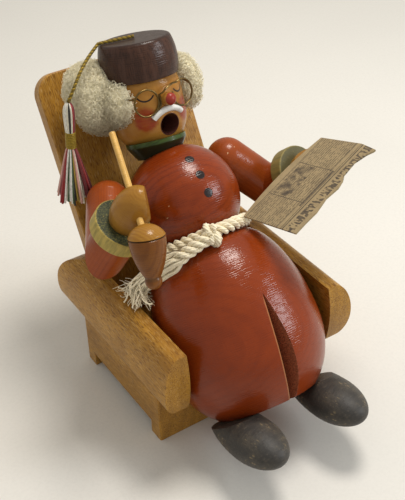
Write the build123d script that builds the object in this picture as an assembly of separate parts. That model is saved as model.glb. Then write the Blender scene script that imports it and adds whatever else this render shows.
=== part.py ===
from build123d import *
import os
from math import acos, cos, degrees, radians, sin, sqrt, tan

# A turned wooden smoking figure that sits in a lounge chair, in millimetres with +Z up.
# The figure faces -Y and its right hand is on the -X side. The origin lies on the ground, in the
# chair's middle plane, under the middle of the seat's front skid.

# Fits
glue_gap = 0.05              # round a dowel or tenon that is glued in
running_gap = 0.08           # round the torso's spigot, which lifts out
rest_gap = 0.3               # between soft pieces and what they lie on
edge_round = 0.8             # eased edges of the chair's boards

# Seat block
seat_width = 80.0
seat_depth = 62.0
seat_height = 27.5
skid_length = 7.0
slot_height = 6.5

# Armrests
armrest_side_overhang = 4.9  # beyond the seat's side
armrest_width = 11.2
armrest_height = 26.4
armrest_top_flat = 3.6
armrest_belly_height = 10.5  # where the rounded outer side stands out most
armrest_foot_inset = 5.5     # how far the outer side draws in at the foot
armrest_front_overhang = 15.0
armrest_front_bulge = 1.8
armrest_rear_overhang = 12.0
armrest_rear_round = 14.0
armrest_heel_round = 4.0
armrest_dowel_radius = 1.9
armrest_dowel_length = 22.0
armrest_dowel_inset = 12.0   # from the seat block's front and rear

# Backrest
backrest_tilt = 28.0
backrest_foot = 30.0         # Y of its front face, carried down to the ground
backrest_length = 137.9      # along the slope, from the ground to the top
backrest_width = 66.4
backrest_thickness = 6.8
backrest_corner_round = 9.0
backrest_dowel_radius = 1.6
backrest_dowel_length = 24.0
backrest_dowel_spacing = 40.0

# Figure's axis, through the centre of the torso's ball
torso_y = 35.7
torso_z = 81.4
body_tilt = 41.5

# Torso
torso_radius = 22.7
waist_drop = 18.0            # below the ball's centre, along the axis
spigot_radius = 10.9
spigot_length = 7.0
duct_radius = 4.5
neck_flat_rise = 20.6
neck_radius = 6.5
neck_length = 6.0

# Robe
waist_radius = 14.0
robe_radius = 33.1
robe_belly_drop = 60.0
robe_end_radius = 21.0
robe_end_drop = 87.5
robe_rim_round = 1.6
chamber_depth = 36.0
draught_radius = 2.2
draught_offset = 8.4
front_cut_start = 44.7       # below the ball's centre
front_cut_depth = 3.2        # at the robe's end
front_cut_half_angle = 21.0
robe_dowel_radius = 2.5
robe_dowel_length = 16.0
robe_dowel_spacing = 34.0
robe_dowel_setback = 9.0     # behind the seat's front

# Burner plate
plate_radius = 6.0
plate_thickness = 0.6
plate_rim_height = 2.0

# Shoes
shoe_spacing = 38.4
shoe_centre_y = -35.1
shoe_centre_z = 18.9
shoe_width = 20.6
shoe_length = 45.6
shoe_toe_length = 18.5       # from the widest place to the toe
shoe_height = 16.2
shoe_pitch = 13.0
shoe_dowel_radius = 2.0
shoe_dowel_in_robe = 8.0
shoe_dowel_in_shoe = 4.0
shoe_dowel_spacing = 26.0
shoe_dowel_forward = 5.0

# Collar and head
head_rise = 37.4             # from the torso's centre, along the axis
head_radius = 15.3
head_top_rise = 16.3
head_top_radius = 13.4
head_pitch = 16.5
head_roll = 1.0
head_turn = 5.0
collar_tilt = 27.2
collar_roll = 3.0
collar_rise = 26.8           # of the rim's middle, along the figure's axis
collar_shift = -1.4          # sideways, towards the right hand
collar_foot_radius = 9.0
collar_rim_radius = 12.3
collar_rim_thickness = 1.6
collar_depth = 7.0
mouth_radius = 4.3
mouth_height = -2.2          # heights on the face are from the head's centre
nose_height = 8.2
nose_root_radius = 2.7
nose_tip_radius = 2.6
nose_reach = 5.2             # beyond the head's surface
nose_tenon_radius = 1.5
nose_tenon_length = 4.0
moustache_end_longitude = 25.0
moustache_end_height = 1.6
moustache_peak_height = 4.3
moustache_radius = 1.25
lens_radius = 5.2
lens_longitude = 30.0
lens_wrap = 8.0              # how far each ring looks to its own side
lens_height = 8.6
lens_stand_off = 1.9
bridge_height = 12.6
bridge_stand_off = 2.6
wire_radius = 0.4

# Hair
hair_half_width = 9.2
hair_half_height = 11.8
hair_reach = 18.0            # from the tuft's own axis to the middle of its roll
hair_shift = -4.6            # of the tuft's axis, towards the right hand
hair_rise = 8.2
hair_start_right = 48.0      # degrees from the face to where the tuft begins
hair_start_left = 80.0
ear_wire_end = 76.0          # degrees from the face

# Cap
cap_height = 15.0
cap_radius = 15.8
cap_foot_radius = 15.2
cap_top_radius = 14.1
cap_edge_round = 1.6
cap_dowel_radius = 3.0
cap_dowel_half_length = 6.0

# Arms
arm_radius = 8.8
shoulder_flat = 0.3          # depth of the glued flats on ball and arm
upper_arm_length = 23.5
right_forearm_length = 15.5
left_forearm_length = 21.5
cuff_length = 6.5
cuff_radius = 11.5
cuff_round = 0.8
arm_dowel_radius = 1.8
shoulder_dowel_half_length = 6.0
elbow_dowel_half_length = 5.0
shoulder_way = Vector(0.925, 0.354, 0.136)
right_upper_way = Vector(-0.489, -0.841, -0.234)
right_fore_way = Vector(0.27, -0.44, 0.86)
left_upper_way = Vector(0.66, -0.36, -0.66)
left_fore_way = Vector(0.26, -0.75, 0.61)

# Hands
hand_radius = 7.6
hand_half_length = 12.0
hand_middle = 7.0            # beyond the cuff's face
hand_tenon_radius = 2.6
hand_tenon_length = 9.0
grip_flat = 6.4              # from the right hand's middle
grip_way = Vector(0.876, -0.474, 0.118)

# Pipe
stem_radius = 1.25
stem_top_x = -27.0           # the stem's free end
stem_top_y = 40.9
stem_top_z = 119.3
stem_in_bowl = 4.0
bowl_x = -36.6               # centre of the bowl's scored line
bowl_y = 2.1
bowl_z = 98.8
bowl_way = Vector(0.10, 0.36, 0.93)
bowl_radius = 6.9
bowl_lid_height = 4.4
bowl_body_height = 15.0
bowl_neck_radius = 2.9
bowl_knob_radius = 3.2
bowl_knob_height = 4.6
bowl_groove = 0.4
bowl_stem_drop = 4.0         # from the scored line down to the stem's hole

# Newspaper
paper_width = 29.6
paper_length = 49.0
paper_thickness = 0.7
paper_x = 37.4               # the sheet's middle
paper_y = 2.65
paper_z = 92.55
paper_along = Vector(0.93, 0.19, 0.32)
paper_normal = Vector(-0.35, 0.18, 0.92)
paper_far_bow = 2.2          # how far the edge at the hand bows out
paper_end_bow = 1.5          # how far the outer end stands out
paper_end_bow_at = -6.5      # where it does, from the sheet's middle
torn_edge = [(0.96, 0.2), (0.86, 1.9), (0.64, 3.8), (0.34, 3.2), (0.22, 1.4), (0.06, 0.4), (-0.2, 1.3),
             (-0.5, -0.2), (-0.74, 0.1)]   # share of the half length, inset from the edge

# Rope belt
rope_radius = 2.5
knot_radius = 3.5
knot_angle = 14.0            # from the front towards the right hand
knot_drop = 17.5
knot_reach = 22.6            # from the figure's axis
tail_start = 2.5             # further out than the knot's middle
tail_points = [(-14.6, 7.6, 80.2), (-20.8, 10.0, 75.4), (-25.8, 15.2, 69.4), (-29.5, 20.5, 62.5)]

# Cap cord and tassel
cord_radius = 0.75
cord_edge_angle = 158.0      # where it leaves the cap, from the head's +X
cord_points = [(-19.8, 69.5, 137.3), (-27.6, 63.0, 134.4), (-32.4, 60.3, 130.4)]
tassel_x = -35.2             # the top of the tassel's head
tassel_y = 60.2
tassel_z = 126.0
tassel_lean = 3.1
tassel_head_radius = 2.7
tassel_head_length = 12.0
tassel_band_radius = 2.0
tassel_band_length = 7.2
tassel_skirt_radius = 7.5
tassel_skirt_length = 23.5

# Travel of the torso when it is lifted out of the robe
lift_travel = 18.0

# Places worked out from the sizes above
seat_front = -skid_length / 2
seat_rear = seat_front + seat_depth
armrest_front = seat_front - armrest_front_overhang
armrest_rear = seat_rear + armrest_rear_overhang
armrest_inner = seat_width / 2 + armrest_side_overhang - armrest_width
torso_centre = Vector(0, torso_y, torso_z)
body_frame = Location(torso_centre, (-body_tilt, 0, 0))
body_axis = Vector(0, sin(radians(body_tilt)), cos(radians(body_tilt)))
head_centre = torso_centre + body_axis * head_rise
head_frame = Location(head_centre, (-head_pitch, head_roll, head_turn))
backrest_frame = Location((0, backrest_foot, 0), (-backrest_tilt, 0, 0))
chamber_radius = spigot_radius + running_gap
cap_top_rise = head_top_rise + cap_height
seam = 0.35                  # clear length where two cords meet end to end
stem_top = Vector(stem_top_x, stem_top_y, stem_top_z)
bowl_middle = Vector(bowl_x, bowl_y, bowl_z)
paper_centre = Vector(paper_x, paper_y, paper_z)
tassel_top = Vector(tassel_x, tassel_y, tassel_z)
tassel_frame = Location(tassel_top, (0, tassel_lean, 0))
far = 200.0                  # reach of cutting blocks and planes


def in_frame(frame, x, y, z):
    """Gives a point of a local frame in the object's frame."""
    return (frame * Pos(x, y, z)).position


def turned(*lines):
    """Revolves a closed half outline, drawn as radius and height, about Z."""
    outline = make_face(Curve() + list(lines))
    return revolve(Plane.XZ * outline, Axis.Z)


def rod(start, end, radius):
    """A straight round rod between two points."""
    run = end - start
    return extrude(Plane(origin=start, z_dir=run) * Circle(radius), run.length)


def half_space(origin, normal):
    """A large block on the far side of a plane, for cutting."""
    return extrude(Plane(origin=origin, z_dir=normal) * Rectangle(3 * far, 3 * far), far)


def face_normal(longitude, height):
    """Which way the head's surface looks, in the head's own frame; longitude 0 is the face."""
    turn = radians(longitude)
    outward = sqrt(head_radius ** 2 - height ** 2)
    upward = height
    if height > 0:
        level = sqrt(1 - (height / head_top_rise) ** 2)
        outward = 1.0
        upward = (head_radius - head_top_radius) * height / (head_top_rise ** 2 * level)
    return Vector(sin(turn) * outward, -cos(turn) * outward, upward).normalized()


def on_face(longitude, height, lift):
    """A point above the head's surface, in the head's own frame."""
    turn = radians(longitude)
    girth = sqrt(head_radius ** 2 - height ** 2)
    if height > 0:
        level = sqrt(1 - (height / head_top_rise) ** 2)
        girth = head_top_radius + (head_radius - head_top_radius) * level
    foot = Vector(sin(turn) * girth, -cos(turn) * girth, height)
    return foot + face_normal(longitude, height) * lift


def armrest_dowel_places():
    middle = armrest_inner + (armrest_width - armrest_foot_inset) / 2
    front = seat_front + armrest_dowel_inset
    rear = seat_rear - armrest_dowel_inset
    return [Vector(side * middle, y, seat_height) for side in (-1, 1) for y in (front, rear)]


def armrest_dowel_rods(radius):
    half = Vector(0, 0, armrest_dowel_length / 2)
    return [rod(place - half, place + half, radius) for place in armrest_dowel_places()]


def backrest_dowel_rods(radius):
    """Pins that run along the board, half in the seat and half in the board."""
    slope = seat_height / cos(radians(backrest_tilt))
    low = slope - backrest_dowel_length / 2
    high = slope + backrest_dowel_length / 2
    middle = backrest_thickness / 2
    pins = []
    for side in (-1, 1):
        x = side * backrest_dowel_spacing / 2
        foot = in_frame(backrest_frame, x, middle, low)
        top = in_frame(backrest_frame, x, middle, high)
        pins.append(rod(foot, top, radius))
    return pins


def robe_dowel_rods(radius):
    """Pins that stand in the seat and hold the robe's sawn step."""
    half = Vector(0, 0, robe_dowel_length / 2)
    pins = []
    for side in (-1, 1):
        foot = Vector(side * robe_dowel_spacing / 2, seat_front + robe_dowel_setback, seat_height)
        pins.append(rod(foot - half, foot + half, radius))
    return pins


def shoe_dowel_rods(radius):
    pins = []
    for side in (-1, 1):
        x = side * shoe_dowel_spacing / 2
        low = in_frame(body_frame, x, -shoe_dowel_forward, -robe_end_drop - shoe_dowel_in_shoe)
        high = in_frame(body_frame, x, -shoe_dowel_forward, -robe_end_drop + shoe_dowel_in_robe)
        pins.append(rod(low, high, radius))
    return pins


def seat_outline():
    """The space that the seat block takes, before it is slotted."""
    middle = (seat_front + seat_rear) / 2
    return Pos(0, middle, seat_height / 2) * Box(seat_width, seat_depth, seat_height)


def make_seat_block():
    block = seat_outline()
    block = fillet(block.edges().filter_by(Axis.Z), edge_round)
    slot_length = seat_depth - 2 * skid_length
    slot = Box(seat_width + far, slot_length, 2 * slot_height)
    block -= Pos(0, (seat_front + seat_rear) / 2, 0) * slot
    for hole in armrest_dowel_rods(armrest_dowel_radius + glue_gap):
        block -= hole
    for hole in backrest_dowel_rods(backrest_dowel_radius + glue_gap):
        block -= hole
    for hole in robe_dowel_rods(robe_dowel_radius + glue_gap):
        block -= hole
    return block


def armrest_bar():
    """The left armrest: a rounded section cut to a side outline with a curved front and a round rear."""
    upper = armrest_height - armrest_belly_height
    outer = EllipticalCenterArc((armrest_top_flat, armrest_belly_height), armrest_width - armrest_top_flat,
                                upper, start_angle=0, arc_size=90)
    belly = (armrest_width - armrest_foot_inset, armrest_belly_height)
    lower = EllipticalCenterArc(belly, armrest_foot_inset, armrest_belly_height, start_angle=-90, arc_size=90)
    inside = Polyline((armrest_top_flat, armrest_height), (0, armrest_height), (0, 0),
                      (armrest_width - armrest_foot_inset, 0))
    section = make_face(Curve() + [outer, lower, inside])
    bar = extrude(Plane.XZ * section, far, both=True)
    front_edge = armrest_front + armrest_front_bulge
    front = ThreePointArc((front_edge, 0), (armrest_front, armrest_height / 2), (front_edge, armrest_height))
    top = Line((front_edge, armrest_height), (armrest_rear - armrest_rear_round, armrest_height))
    rear = EllipticalCenterArc((armrest_rear - armrest_rear_round, armrest_height - armrest_rear_round),
                               armrest_rear_round, armrest_rear_round, start_angle=0, arc_size=90)
    back = Line((armrest_rear, armrest_height - armrest_rear_round), (armrest_rear, armrest_heel_round))
    heel = EllipticalCenterArc((armrest_rear - armrest_heel_round, armrest_heel_round), armrest_heel_round,
                               armrest_heel_round, start_angle=-90, arc_size=90)
    foot = Line((armrest_rear - armrest_heel_round, 0), (front_edge, 0))
    side = make_face(Curve() + [front, top, rear, back, heel, foot])
    bar &= extrude(Plane.YZ * side, far, both=True)
    return Pos(armrest_inner, 0, seat_height) * bar


def make_armrests():
    left = armrest_bar()
    right = mirror(left, about=Plane.YZ)
    for hole in armrest_dowel_rods(armrest_dowel_radius + glue_gap):
        left -= hole
        right -= hole
    return right, left


def make_backrest():
    low_front = (Align.CENTER, Align.MIN, Align.MIN)
    board = Box(backrest_width, backrest_thickness, backrest_length, align=low_front)
    corners = board.edges().filter_by(Axis.Y).group_by(Axis.Z)[-1]
    board = fillet(corners, backrest_corner_round)
    rim = board.faces().filter_by(Axis.Y).edges().filter_by(lambda edge: edge.center().Z > seat_height)
    board = fillet(rim, edge_round)
    board = backrest_frame * board
    board -= Pos(0, 0, seat_height - far / 2) * Box(2 * far, 2 * far, far)
    for hole in backrest_dowel_rods(backrest_dowel_radius + glue_gap):
        board -= hole
    return board


def front_cut():
    """The wedge that a V cutter takes out along the robe's front, in the body's frame."""
    upper = (robe_belly_drop - front_cut_start) / (robe_belly_drop - waist_drop)
    start_radius = waist_radius + (robe_radius - waist_radius) * sqrt(1 - upper ** 2)
    start = Vector(0, -start_radius, -front_cut_start)
    end = Vector(0, front_cut_depth - robe_end_radius, -robe_end_drop)
    run = end - start
    wall = robe_radius
    half_width = wall * tan(radians(front_cut_half_angle))
    wedge = make_face(Polyline((0, 0), (wall, half_width), (wall, -half_width), close=True))
    outward = Vector(0, run.Z, -run.Y)
    cutter = extrude(Plane(origin=start, x_dir=outward, z_dir=run) * wedge, run.length + robe_radius)
    return cutter


def make_robe():
    shoulder = EllipticalCenterArc((waist_radius, -robe_belly_drop), robe_radius - waist_radius,
                                   robe_belly_drop - waist_drop, start_angle=0, arc_size=90)
    lower_width = 2 * (robe_radius - robe_end_radius)
    lower_height = (robe_end_drop - robe_belly_drop) / sin(radians(60))
    hem = EllipticalCenterArc((robe_radius - lower_width, -robe_belly_drop), lower_width, lower_height,
                              start_angle=-60, arc_size=60)
    inside = Polyline((waist_radius, -waist_drop), (0, -waist_drop), (0, -robe_end_drop),
                      (robe_end_radius, -robe_end_drop))
    robe = turned(shoulder, hem, inside)
    robe = fillet(robe.edges().group_by(Axis.Z)[0], robe_rim_round)
    chamber = Cylinder(chamber_radius, chamber_depth, align=(Align.CENTER, Align.CENTER, Align.MAX))
    robe -= Pos(0, 0, -waist_drop) * chamber
    draught = Cylinder(draught_radius, robe_end_drop, align=(Align.CENTER, Align.CENTER, Align.MAX))
    robe -= Pos(0, -draught_offset, -waist_drop - chamber_depth / 2) * draught
    robe -= front_cut()
    robe = body_frame * robe
    robe -= seat_outline()
    for hole in robe_dowel_rods(robe_dowel_radius + glue_gap):
        robe -= hole
    for hole in shoe_dowel_rods(shoe_dowel_radius + glue_gap):
        robe -= hole
    return robe


def make_burner_plate():
    """A pressed tin dish on the chamber's floor."""
    outer = Cylinder(plate_radius, plate_rim_height, align=(Align.CENTER, Align.CENTER, Align.MIN))
    inside = plate_radius - plate_thickness
    inner = Cylinder(inside, plate_rim_height, align=(Align.CENTER, Align.CENTER, Align.MIN))
    dish = outer - Pos(0, 0, plate_thickness) * inner
    return body_frame * Pos(0, 0, -waist_drop - chamber_depth) * dish


def make_shoe(side):
    """A blunt oval shoe, cut to lie against the robe's end."""
    heel_length = shoe_length - shoe_toe_length
    toe = EllipticalCenterArc((0, 0), shoe_width / 2, shoe_toe_length, start_angle=0, arc_size=90)
    heel = EllipticalCenterArc((0, 0), shoe_width / 2, heel_length, start_angle=-90, arc_size=90)
    oval = turned(toe, heel, Line((0, -heel_length), (0, shoe_toe_length)))
    flat = scale(oval, by=(1, shoe_height / shoe_width, 1))
    middle = Vector(side * shoe_spacing / 2, shoe_centre_y, shoe_centre_z)
    widest_forward = shoe_length / 2 - shoe_toe_length
    place = Location(middle, (-shoe_pitch, 0, 0)) * Pos(0, -widest_forward, 0) * Rot(90, 0, 0)
    shoe = place * flat
    shoe -= half_space(torso_centre - body_axis * robe_end_drop, body_axis)
    for hole in shoe_dowel_rods(shoe_dowel_radius + glue_gap):
        shoe -= hole
    return shoe


def make_torso():
    waist_cut = sqrt(torso_radius ** 2 - waist_drop ** 2)
    neck_cut = sqrt(torso_radius ** 2 - neck_flat_rise ** 2)
    neck_top = neck_flat_rise + neck_length
    spigot_end = -waist_drop - spigot_length
    ball = ThreePointArc((waist_cut, -waist_drop), (torso_radius, 0), (neck_cut, neck_flat_rise))
    above = Polyline((neck_cut, neck_flat_rise), (neck_radius, neck_flat_rise), (neck_radius, neck_top),
                     (duct_radius, neck_top), (duct_radius, spigot_end), (spigot_radius, spigot_end),
                     (spigot_radius, -waist_drop), (waist_cut, -waist_drop))
    torso = body_frame * turned(ball, above)
    for side in (-1, 1):
        torso -= half_space(shoulder_seat(side), shoulder_direction(side))
    for hole in shoulder_dowel_rods(arm_dowel_radius + glue_gap):
        torso -= hole
    return torso


def make_collar():
    """A turned saucer between the torso's ball and the head's, which leans less than the figure."""
    top = collar_rim_thickness / 2
    outline = Polyline((0, top), (collar_rim_radius, top), (collar_rim_radius, -top),
                       (collar_foot_radius, top - collar_depth), (0, top - collar_depth), close=True)
    middle = torso_centre + body_axis * collar_rise + Vector(collar_shift, 0, 0)
    collar = Location(middle, (-collar_tilt, collar_roll, 0)) * turned(outline)
    collar -= Pos(*torso_centre) * Sphere(torso_radius + glue_gap)
    collar -= Pos(*head_centre) * Sphere(head_radius + glue_gap)
    return collar - rod(torso_centre, head_centre, neck_radius + glue_gap)


def head_oval(growth):
    """The head before it is drilled: a half ball below and a slight taper above."""
    side = EllipticalCenterArc((head_top_radius + growth, 0), head_radius - head_top_radius, head_top_rise,
                               start_angle=0, arc_size=90)
    chin = CenterArc((0, 0), head_radius + growth, -90, 90)
    top_edge = (head_top_radius + growth, head_top_rise)
    inside = Polyline(top_edge, (0, head_top_rise), (0, -head_radius - growth))
    return turned(side, chin, inside)


def make_head():
    head = head_oval(0)
    mouth_way = face_normal(0, mouth_height)
    head -= extrude(Plane(origin=(0, 0, 0), z_dir=mouth_way) * Circle(mouth_radius), far)
    tenon_end = on_face(0, nose_height, -nose_tenon_length)
    nose_plane = Plane(origin=tenon_end, z_dir=face_normal(0, nose_height))
    head -= extrude(nose_plane * Circle(nose_tenon_radius + glue_gap), far)
    head -= Pos(0, 0, head_top_rise) * Cylinder(cap_dowel_radius + glue_gap, 2 * cap_dowel_half_length)
    head = head_frame * head
    neck_top = torso_centre + body_axis * (neck_flat_rise + neck_length)
    head -= rod(torso_centre, neck_top, neck_radius + glue_gap)
    head -= rod(torso_centre, head_centre, duct_radius)
    return head


def make_nose():
    """A tapered peg with a round tip, seated on the face by its tenon."""
    cone_end = nose_reach - nose_tip_radius
    sink = nose_tenon_length - glue_gap
    tip = CenterArc((0, cone_end), nose_tip_radius, 0, 90)
    body = Polyline((0, nose_reach), (0, -1), (nose_root_radius, -1), (nose_tip_radius, cone_end))
    seat = Plane(origin=on_face(0, nose_height, 0), z_dir=face_normal(0, nose_height))
    peg = seat.location * turned(tip, body)
    peg -= head_oval(glue_gap)
    peg += rod(on_face(0, nose_height, -sink), on_face(0, nose_height, cone_end), nose_tenon_radius)
    return head_frame * peg


def make_moustache():
    """A bent strip that lies on the upper lip."""
    ends = [on_face(side * moustache_end_longitude, moustache_end_height, 0) for side in (-1, 1)]
    peak = on_face(0, moustache_peak_height, 0)
    path = ThreePointArc(ends[0], peak, ends[1])
    strip = sweep(Plane(origin=path @ 0, z_dir=path % 0) * Circle(moustache_radius), path=path)
    strip -= head_oval(glue_gap)
    return head_frame * strip


def lens_plane(side):
    out = face_normal(side * lens_wrap, 0)
    middle = on_face(side * lens_longitude, lens_height, lens_stand_off)
    return Plane(origin=middle, x_dir=(0, 0, 1), z_dir=out)


def ear_wire(side, radius):
    """A straight wire from the ring's outer side back into the hair."""
    start = lens_plane(side).from_local_coords(Vector(0, -side * lens_radius, 0))
    end = on_face(side * ear_wire_end, lens_height, lens_stand_off)
    return rod(start, end, radius)


def make_glasses():
    """Two wire rings, a bridge over the nose and two ear wires that end in the hair."""
    glasses = Part()
    for side in (-1, 1):
        glasses += lens_plane(side).location * Torus(lens_radius, wire_radius)
        glasses += ear_wire(side, wire_radius)
    ends = [lens_plane(side).from_local_coords(Vector(2.0, side * lens_radius * 0.93, 0)) for side in (-1, 1)]
    crown = on_face(0, bridge_height, bridge_stand_off)
    bridge = ThreePointArc(ends[0], crown, ends[1])
    glasses += sweep(Plane(origin=bridge @ 0, z_dir=bridge % 0) * Circle(wire_radius), path=bridge)
    return head_frame * glasses


def make_hair():
    """A wool tuft round the head's sides and back, pressed flat towards the backrest."""
    roll = Plane.XZ * Pos(hair_reach, hair_rise) * Ellipse(hair_half_width, hair_half_height)
    tuft = revolve(roll, Axis.Z, 360 - hair_start_right - hair_start_left)
    tuft = head_frame * Pos(hair_shift, 0, 0) * Rot(0, 0, hair_start_left - 90) * tuft
    forward = rest_gap + lift_travel * sin(radians(body_tilt - backrest_tilt))
    board_normal = Vector(0, cos(radians(backrest_tilt)), -sin(radians(backrest_tilt)))
    tuft -= half_space(Vector(0, backrest_foot, 0) - board_normal * forward, board_normal)
    tuft -= head_frame * head_oval(rest_gap)
    cap_clear = Cylinder(cap_radius + rest_gap, far, align=(Align.CENTER, Align.CENTER, Align.MIN))
    tuft -= head_frame * Pos(0, 0, head_top_rise - rest_gap) * cap_clear
    for side in (-1, 1):
        tuft -= head_frame * ear_wire(side, wire_radius + glue_gap)
    return tuft


def make_cap():
    middle = head_top_rise + cap_height / 2
    foot = (cap_foot_radius, head_top_rise)
    side = ThreePointArc(foot, (cap_radius, middle), (cap_top_radius, cap_top_rise))
    inside = Polyline((cap_top_radius, cap_top_rise), (0, cap_top_rise), (0, head_top_rise),
                      (cap_foot_radius, head_top_rise))
    cap = turned(side, inside)
    cap = fillet(cap.edges().group_by(Axis.Z)[-1], cap_edge_round)
    cap -= Pos(0, 0, head_top_rise) * Cylinder(cap_dowel_radius + glue_gap, 2 * cap_dowel_half_length)
    return head_frame * cap


def make_cap_dowel():
    length = 2 * (cap_dowel_half_length - glue_gap)
    return head_frame * Pos(0, 0, head_top_rise) * Cylinder(cap_dowel_radius, length)


def shoulder_direction(side):
    return Vector(side * shoulder_way.X, shoulder_way.Y, shoulder_way.Z).normalized()


def shoulder_seat(side):
    """The point of the glued flat between the torso's ball and an arm."""
    return torso_centre + shoulder_direction(side) * (torso_radius - shoulder_flat)


def shoulder_centre(side):
    return shoulder_seat(side) + shoulder_direction(side) * (arm_radius - shoulder_flat)


def shoulder_dowel_rods(radius):
    pins = []
    for side in (-1, 1):
        way = shoulder_direction(side) * shoulder_dowel_half_length
        pins.append(rod(shoulder_seat(side) - way, shoulder_seat(side) + way, radius))
    return pins


class ArmLayout:
    """The points and directions of one bent arm: shoulder, elbow, cuff and hand."""

    def __init__(self, side, upper_way, fore_way, forearm_length):
        self.side = side
        self.upper = upper_way.normalized()
        self.fore = (fore_way - self.upper * fore_way.dot(self.upper)).normalized()
        self.shoulder = shoulder_centre(side)
        self.elbow = self.shoulder + self.upper * upper_arm_length
        self.mitre = (self.upper + self.fore).normalized()
        self.cuff_back = self.elbow + self.fore * (forearm_length - cuff_length)
        self.cuff_face = self.elbow + self.fore * forearm_length
        self.hand = self.cuff_face + self.fore * hand_middle


right_arm = ArmLayout(-1, right_upper_way, right_fore_way, right_forearm_length)
left_arm = ArmLayout(1, left_upper_way, left_fore_way, left_forearm_length)


def elbow_dowel_rod(arm, radius):
    way = arm.mitre * elbow_dowel_half_length
    return rod(arm.elbow - way, arm.elbow + way, radius)


def make_upper_arm(arm):
    """A round stick with a domed shoulder, mitred at the elbow."""
    stick = rod(arm.shoulder, arm.elbow + arm.upper * 2 * arm_radius, arm_radius)
    stick += Pos(*arm.shoulder) * Sphere(arm_radius)
    stick -= half_space(arm.elbow, arm.mitre)
    stick -= half_space(shoulder_seat(arm.side), shoulder_direction(arm.side) * -1)
    for hole in shoulder_dowel_rods(arm_dowel_radius + glue_gap):
        stick -= hole
    stick -= elbow_dowel_rod(arm, arm_dowel_radius + glue_gap)
    return stick


def make_forearm(arm):
    stick = rod(arm.elbow - arm.fore * 2 * arm_radius, arm.cuff_back, arm_radius)
    stick -= half_space(arm.elbow, arm.mitre * -1)
    stick -= elbow_dowel_rod(arm, arm_dowel_radius + glue_gap)
    stick -= rod(arm.cuff_face - arm.fore * hand_tenon_length, arm.cuff_face, hand_tenon_radius + glue_gap)
    return stick


def make_cuff(arm):
    cuff = rod(arm.cuff_back, arm.cuff_face, cuff_radius)
    cuff = fillet(cuff.edges(), cuff_round)
    cuff -= rod(arm.cuff_back - arm.fore, arm.cuff_face + arm.fore, hand_tenon_radius + glue_gap)
    return cuff


def make_hand(arm, flat_origin, flat_normal):
    """An egg-shaped hand on a tenon, with one side cut flat."""
    egg = scale(Sphere(1), by=(hand_radius, hand_radius, hand_half_length))
    egg = Plane(origin=arm.hand, z_dir=arm.fore).location * egg
    egg -= half_space(arm.cuff_face, arm.fore * -1)
    egg -= half_space(flat_origin, flat_normal)
    egg += rod(arm.cuff_face - arm.fore * (hand_tenon_length - glue_gap), arm.hand, hand_tenon_radius)
    return egg


def bowl_plane():
    """The bowl's own frame, with its origin in the middle of the scored line."""
    return Plane(origin=bowl_middle, z_dir=bowl_way)


def stem_rod(radius):
    """The stem, from inside the bowl to its free end."""
    meeting = bowl_middle - bowl_way.normalized() * bowl_stem_drop
    way = (stem_top - meeting).normalized()
    return rod(meeting + way * (bowl_radius - stem_in_bowl), stem_top, radius)


def make_right_hand():
    hand = make_hand(right_arm, right_arm.hand + grip_way.normalized() * grip_flat, grip_way)
    return hand - stem_rod(stem_radius + glue_gap)


def make_left_hand():
    return make_hand(left_arm, paper_centre - paper_normal.normalized() * paper_thickness / 2, paper_normal)


def make_pipe_bowl():
    """A turned bowl with a domed lid, a scored line under it and a knob at its foot."""
    dome_radius = (bowl_radius ** 2 + bowl_lid_height ** 2) / (2 * bowl_lid_height)
    dome_start = degrees(acos(bowl_radius / dome_radius))
    lid = CenterArc((0, bowl_lid_height - dome_radius), dome_radius, dome_start, 90 - dome_start)
    foot = -bowl_groove - bowl_body_height
    rim = (bowl_radius, -2 * bowl_groove)
    belly = ThreePointArc(rim, (bowl_radius * 0.84, foot * 0.55), (bowl_neck_radius, foot))
    score = Polyline((bowl_radius, 0), (bowl_radius - bowl_groove, -bowl_groove), rim)
    core = Polyline((bowl_neck_radius, foot), (0, foot), (0, bowl_lid_height))
    bowl = turned(lid, score, belly, core)
    bowl += Pos(0, 0, foot - bowl_knob_height + bowl_knob_radius) * Sphere(bowl_knob_radius)
    bowl = bowl_plane().location * bowl
    return bowl - stem_rod(stem_radius + glue_gap)


def make_newspaper():
    """A stiff folded sheet with one torn long edge."""
    x = paper_length / 2
    y = paper_width / 2
    torn = [(share * x, inset - y) for share, inset in torn_edge]
    far_edge = ThreePointArc((-x, y), (0, y + paper_far_bow), (x, y))
    rest = Polyline((x, y), (x + paper_end_bow, paper_end_bow_at), (x, -y), *torn, (-x, -y), (-x, y))
    sheet = Plane(origin=paper_centre, x_dir=paper_along, z_dir=paper_normal)
    return extrude(sheet * make_face(Curve() + [far_edge, rest]), paper_thickness / 2, both=True)


def belt_ring_place():
    """Radius and drop of the rope's middle line, where it lies clear of the ball and of the robe."""
    drop = waist_drop - 1.5
    reach = torso_radius + rope_radius + rest_gap
    return sqrt(reach ** 2 - drop ** 2), drop


def knot_centre(further_out=0.0):
    """The knot's middle, where it lies clear of the ball and of the robe."""
    turn = radians(knot_angle)
    reach = knot_reach + further_out
    return in_frame(body_frame, -reach * sin(turn), -reach * cos(turn), -knot_drop)


def make_belt_rope():
    ring, drop = belt_ring_place()
    rope = body_frame * Pos(0, 0, -drop) * Torus(ring, rope_radius)
    return rope - Pos(*knot_centre()) * Sphere(knot_radius + rest_gap)


def make_belt_knot():
    return Pos(*knot_centre()) * Sphere(knot_radius)


def make_belt_tail():
    points = [knot_centre(tail_start)] + [Vector(*point) for point in tail_points]
    tail = cord_tube(points, rope_radius, "belt tail")
    return tail - Pos(*knot_centre()) * Sphere(knot_radius)


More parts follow.
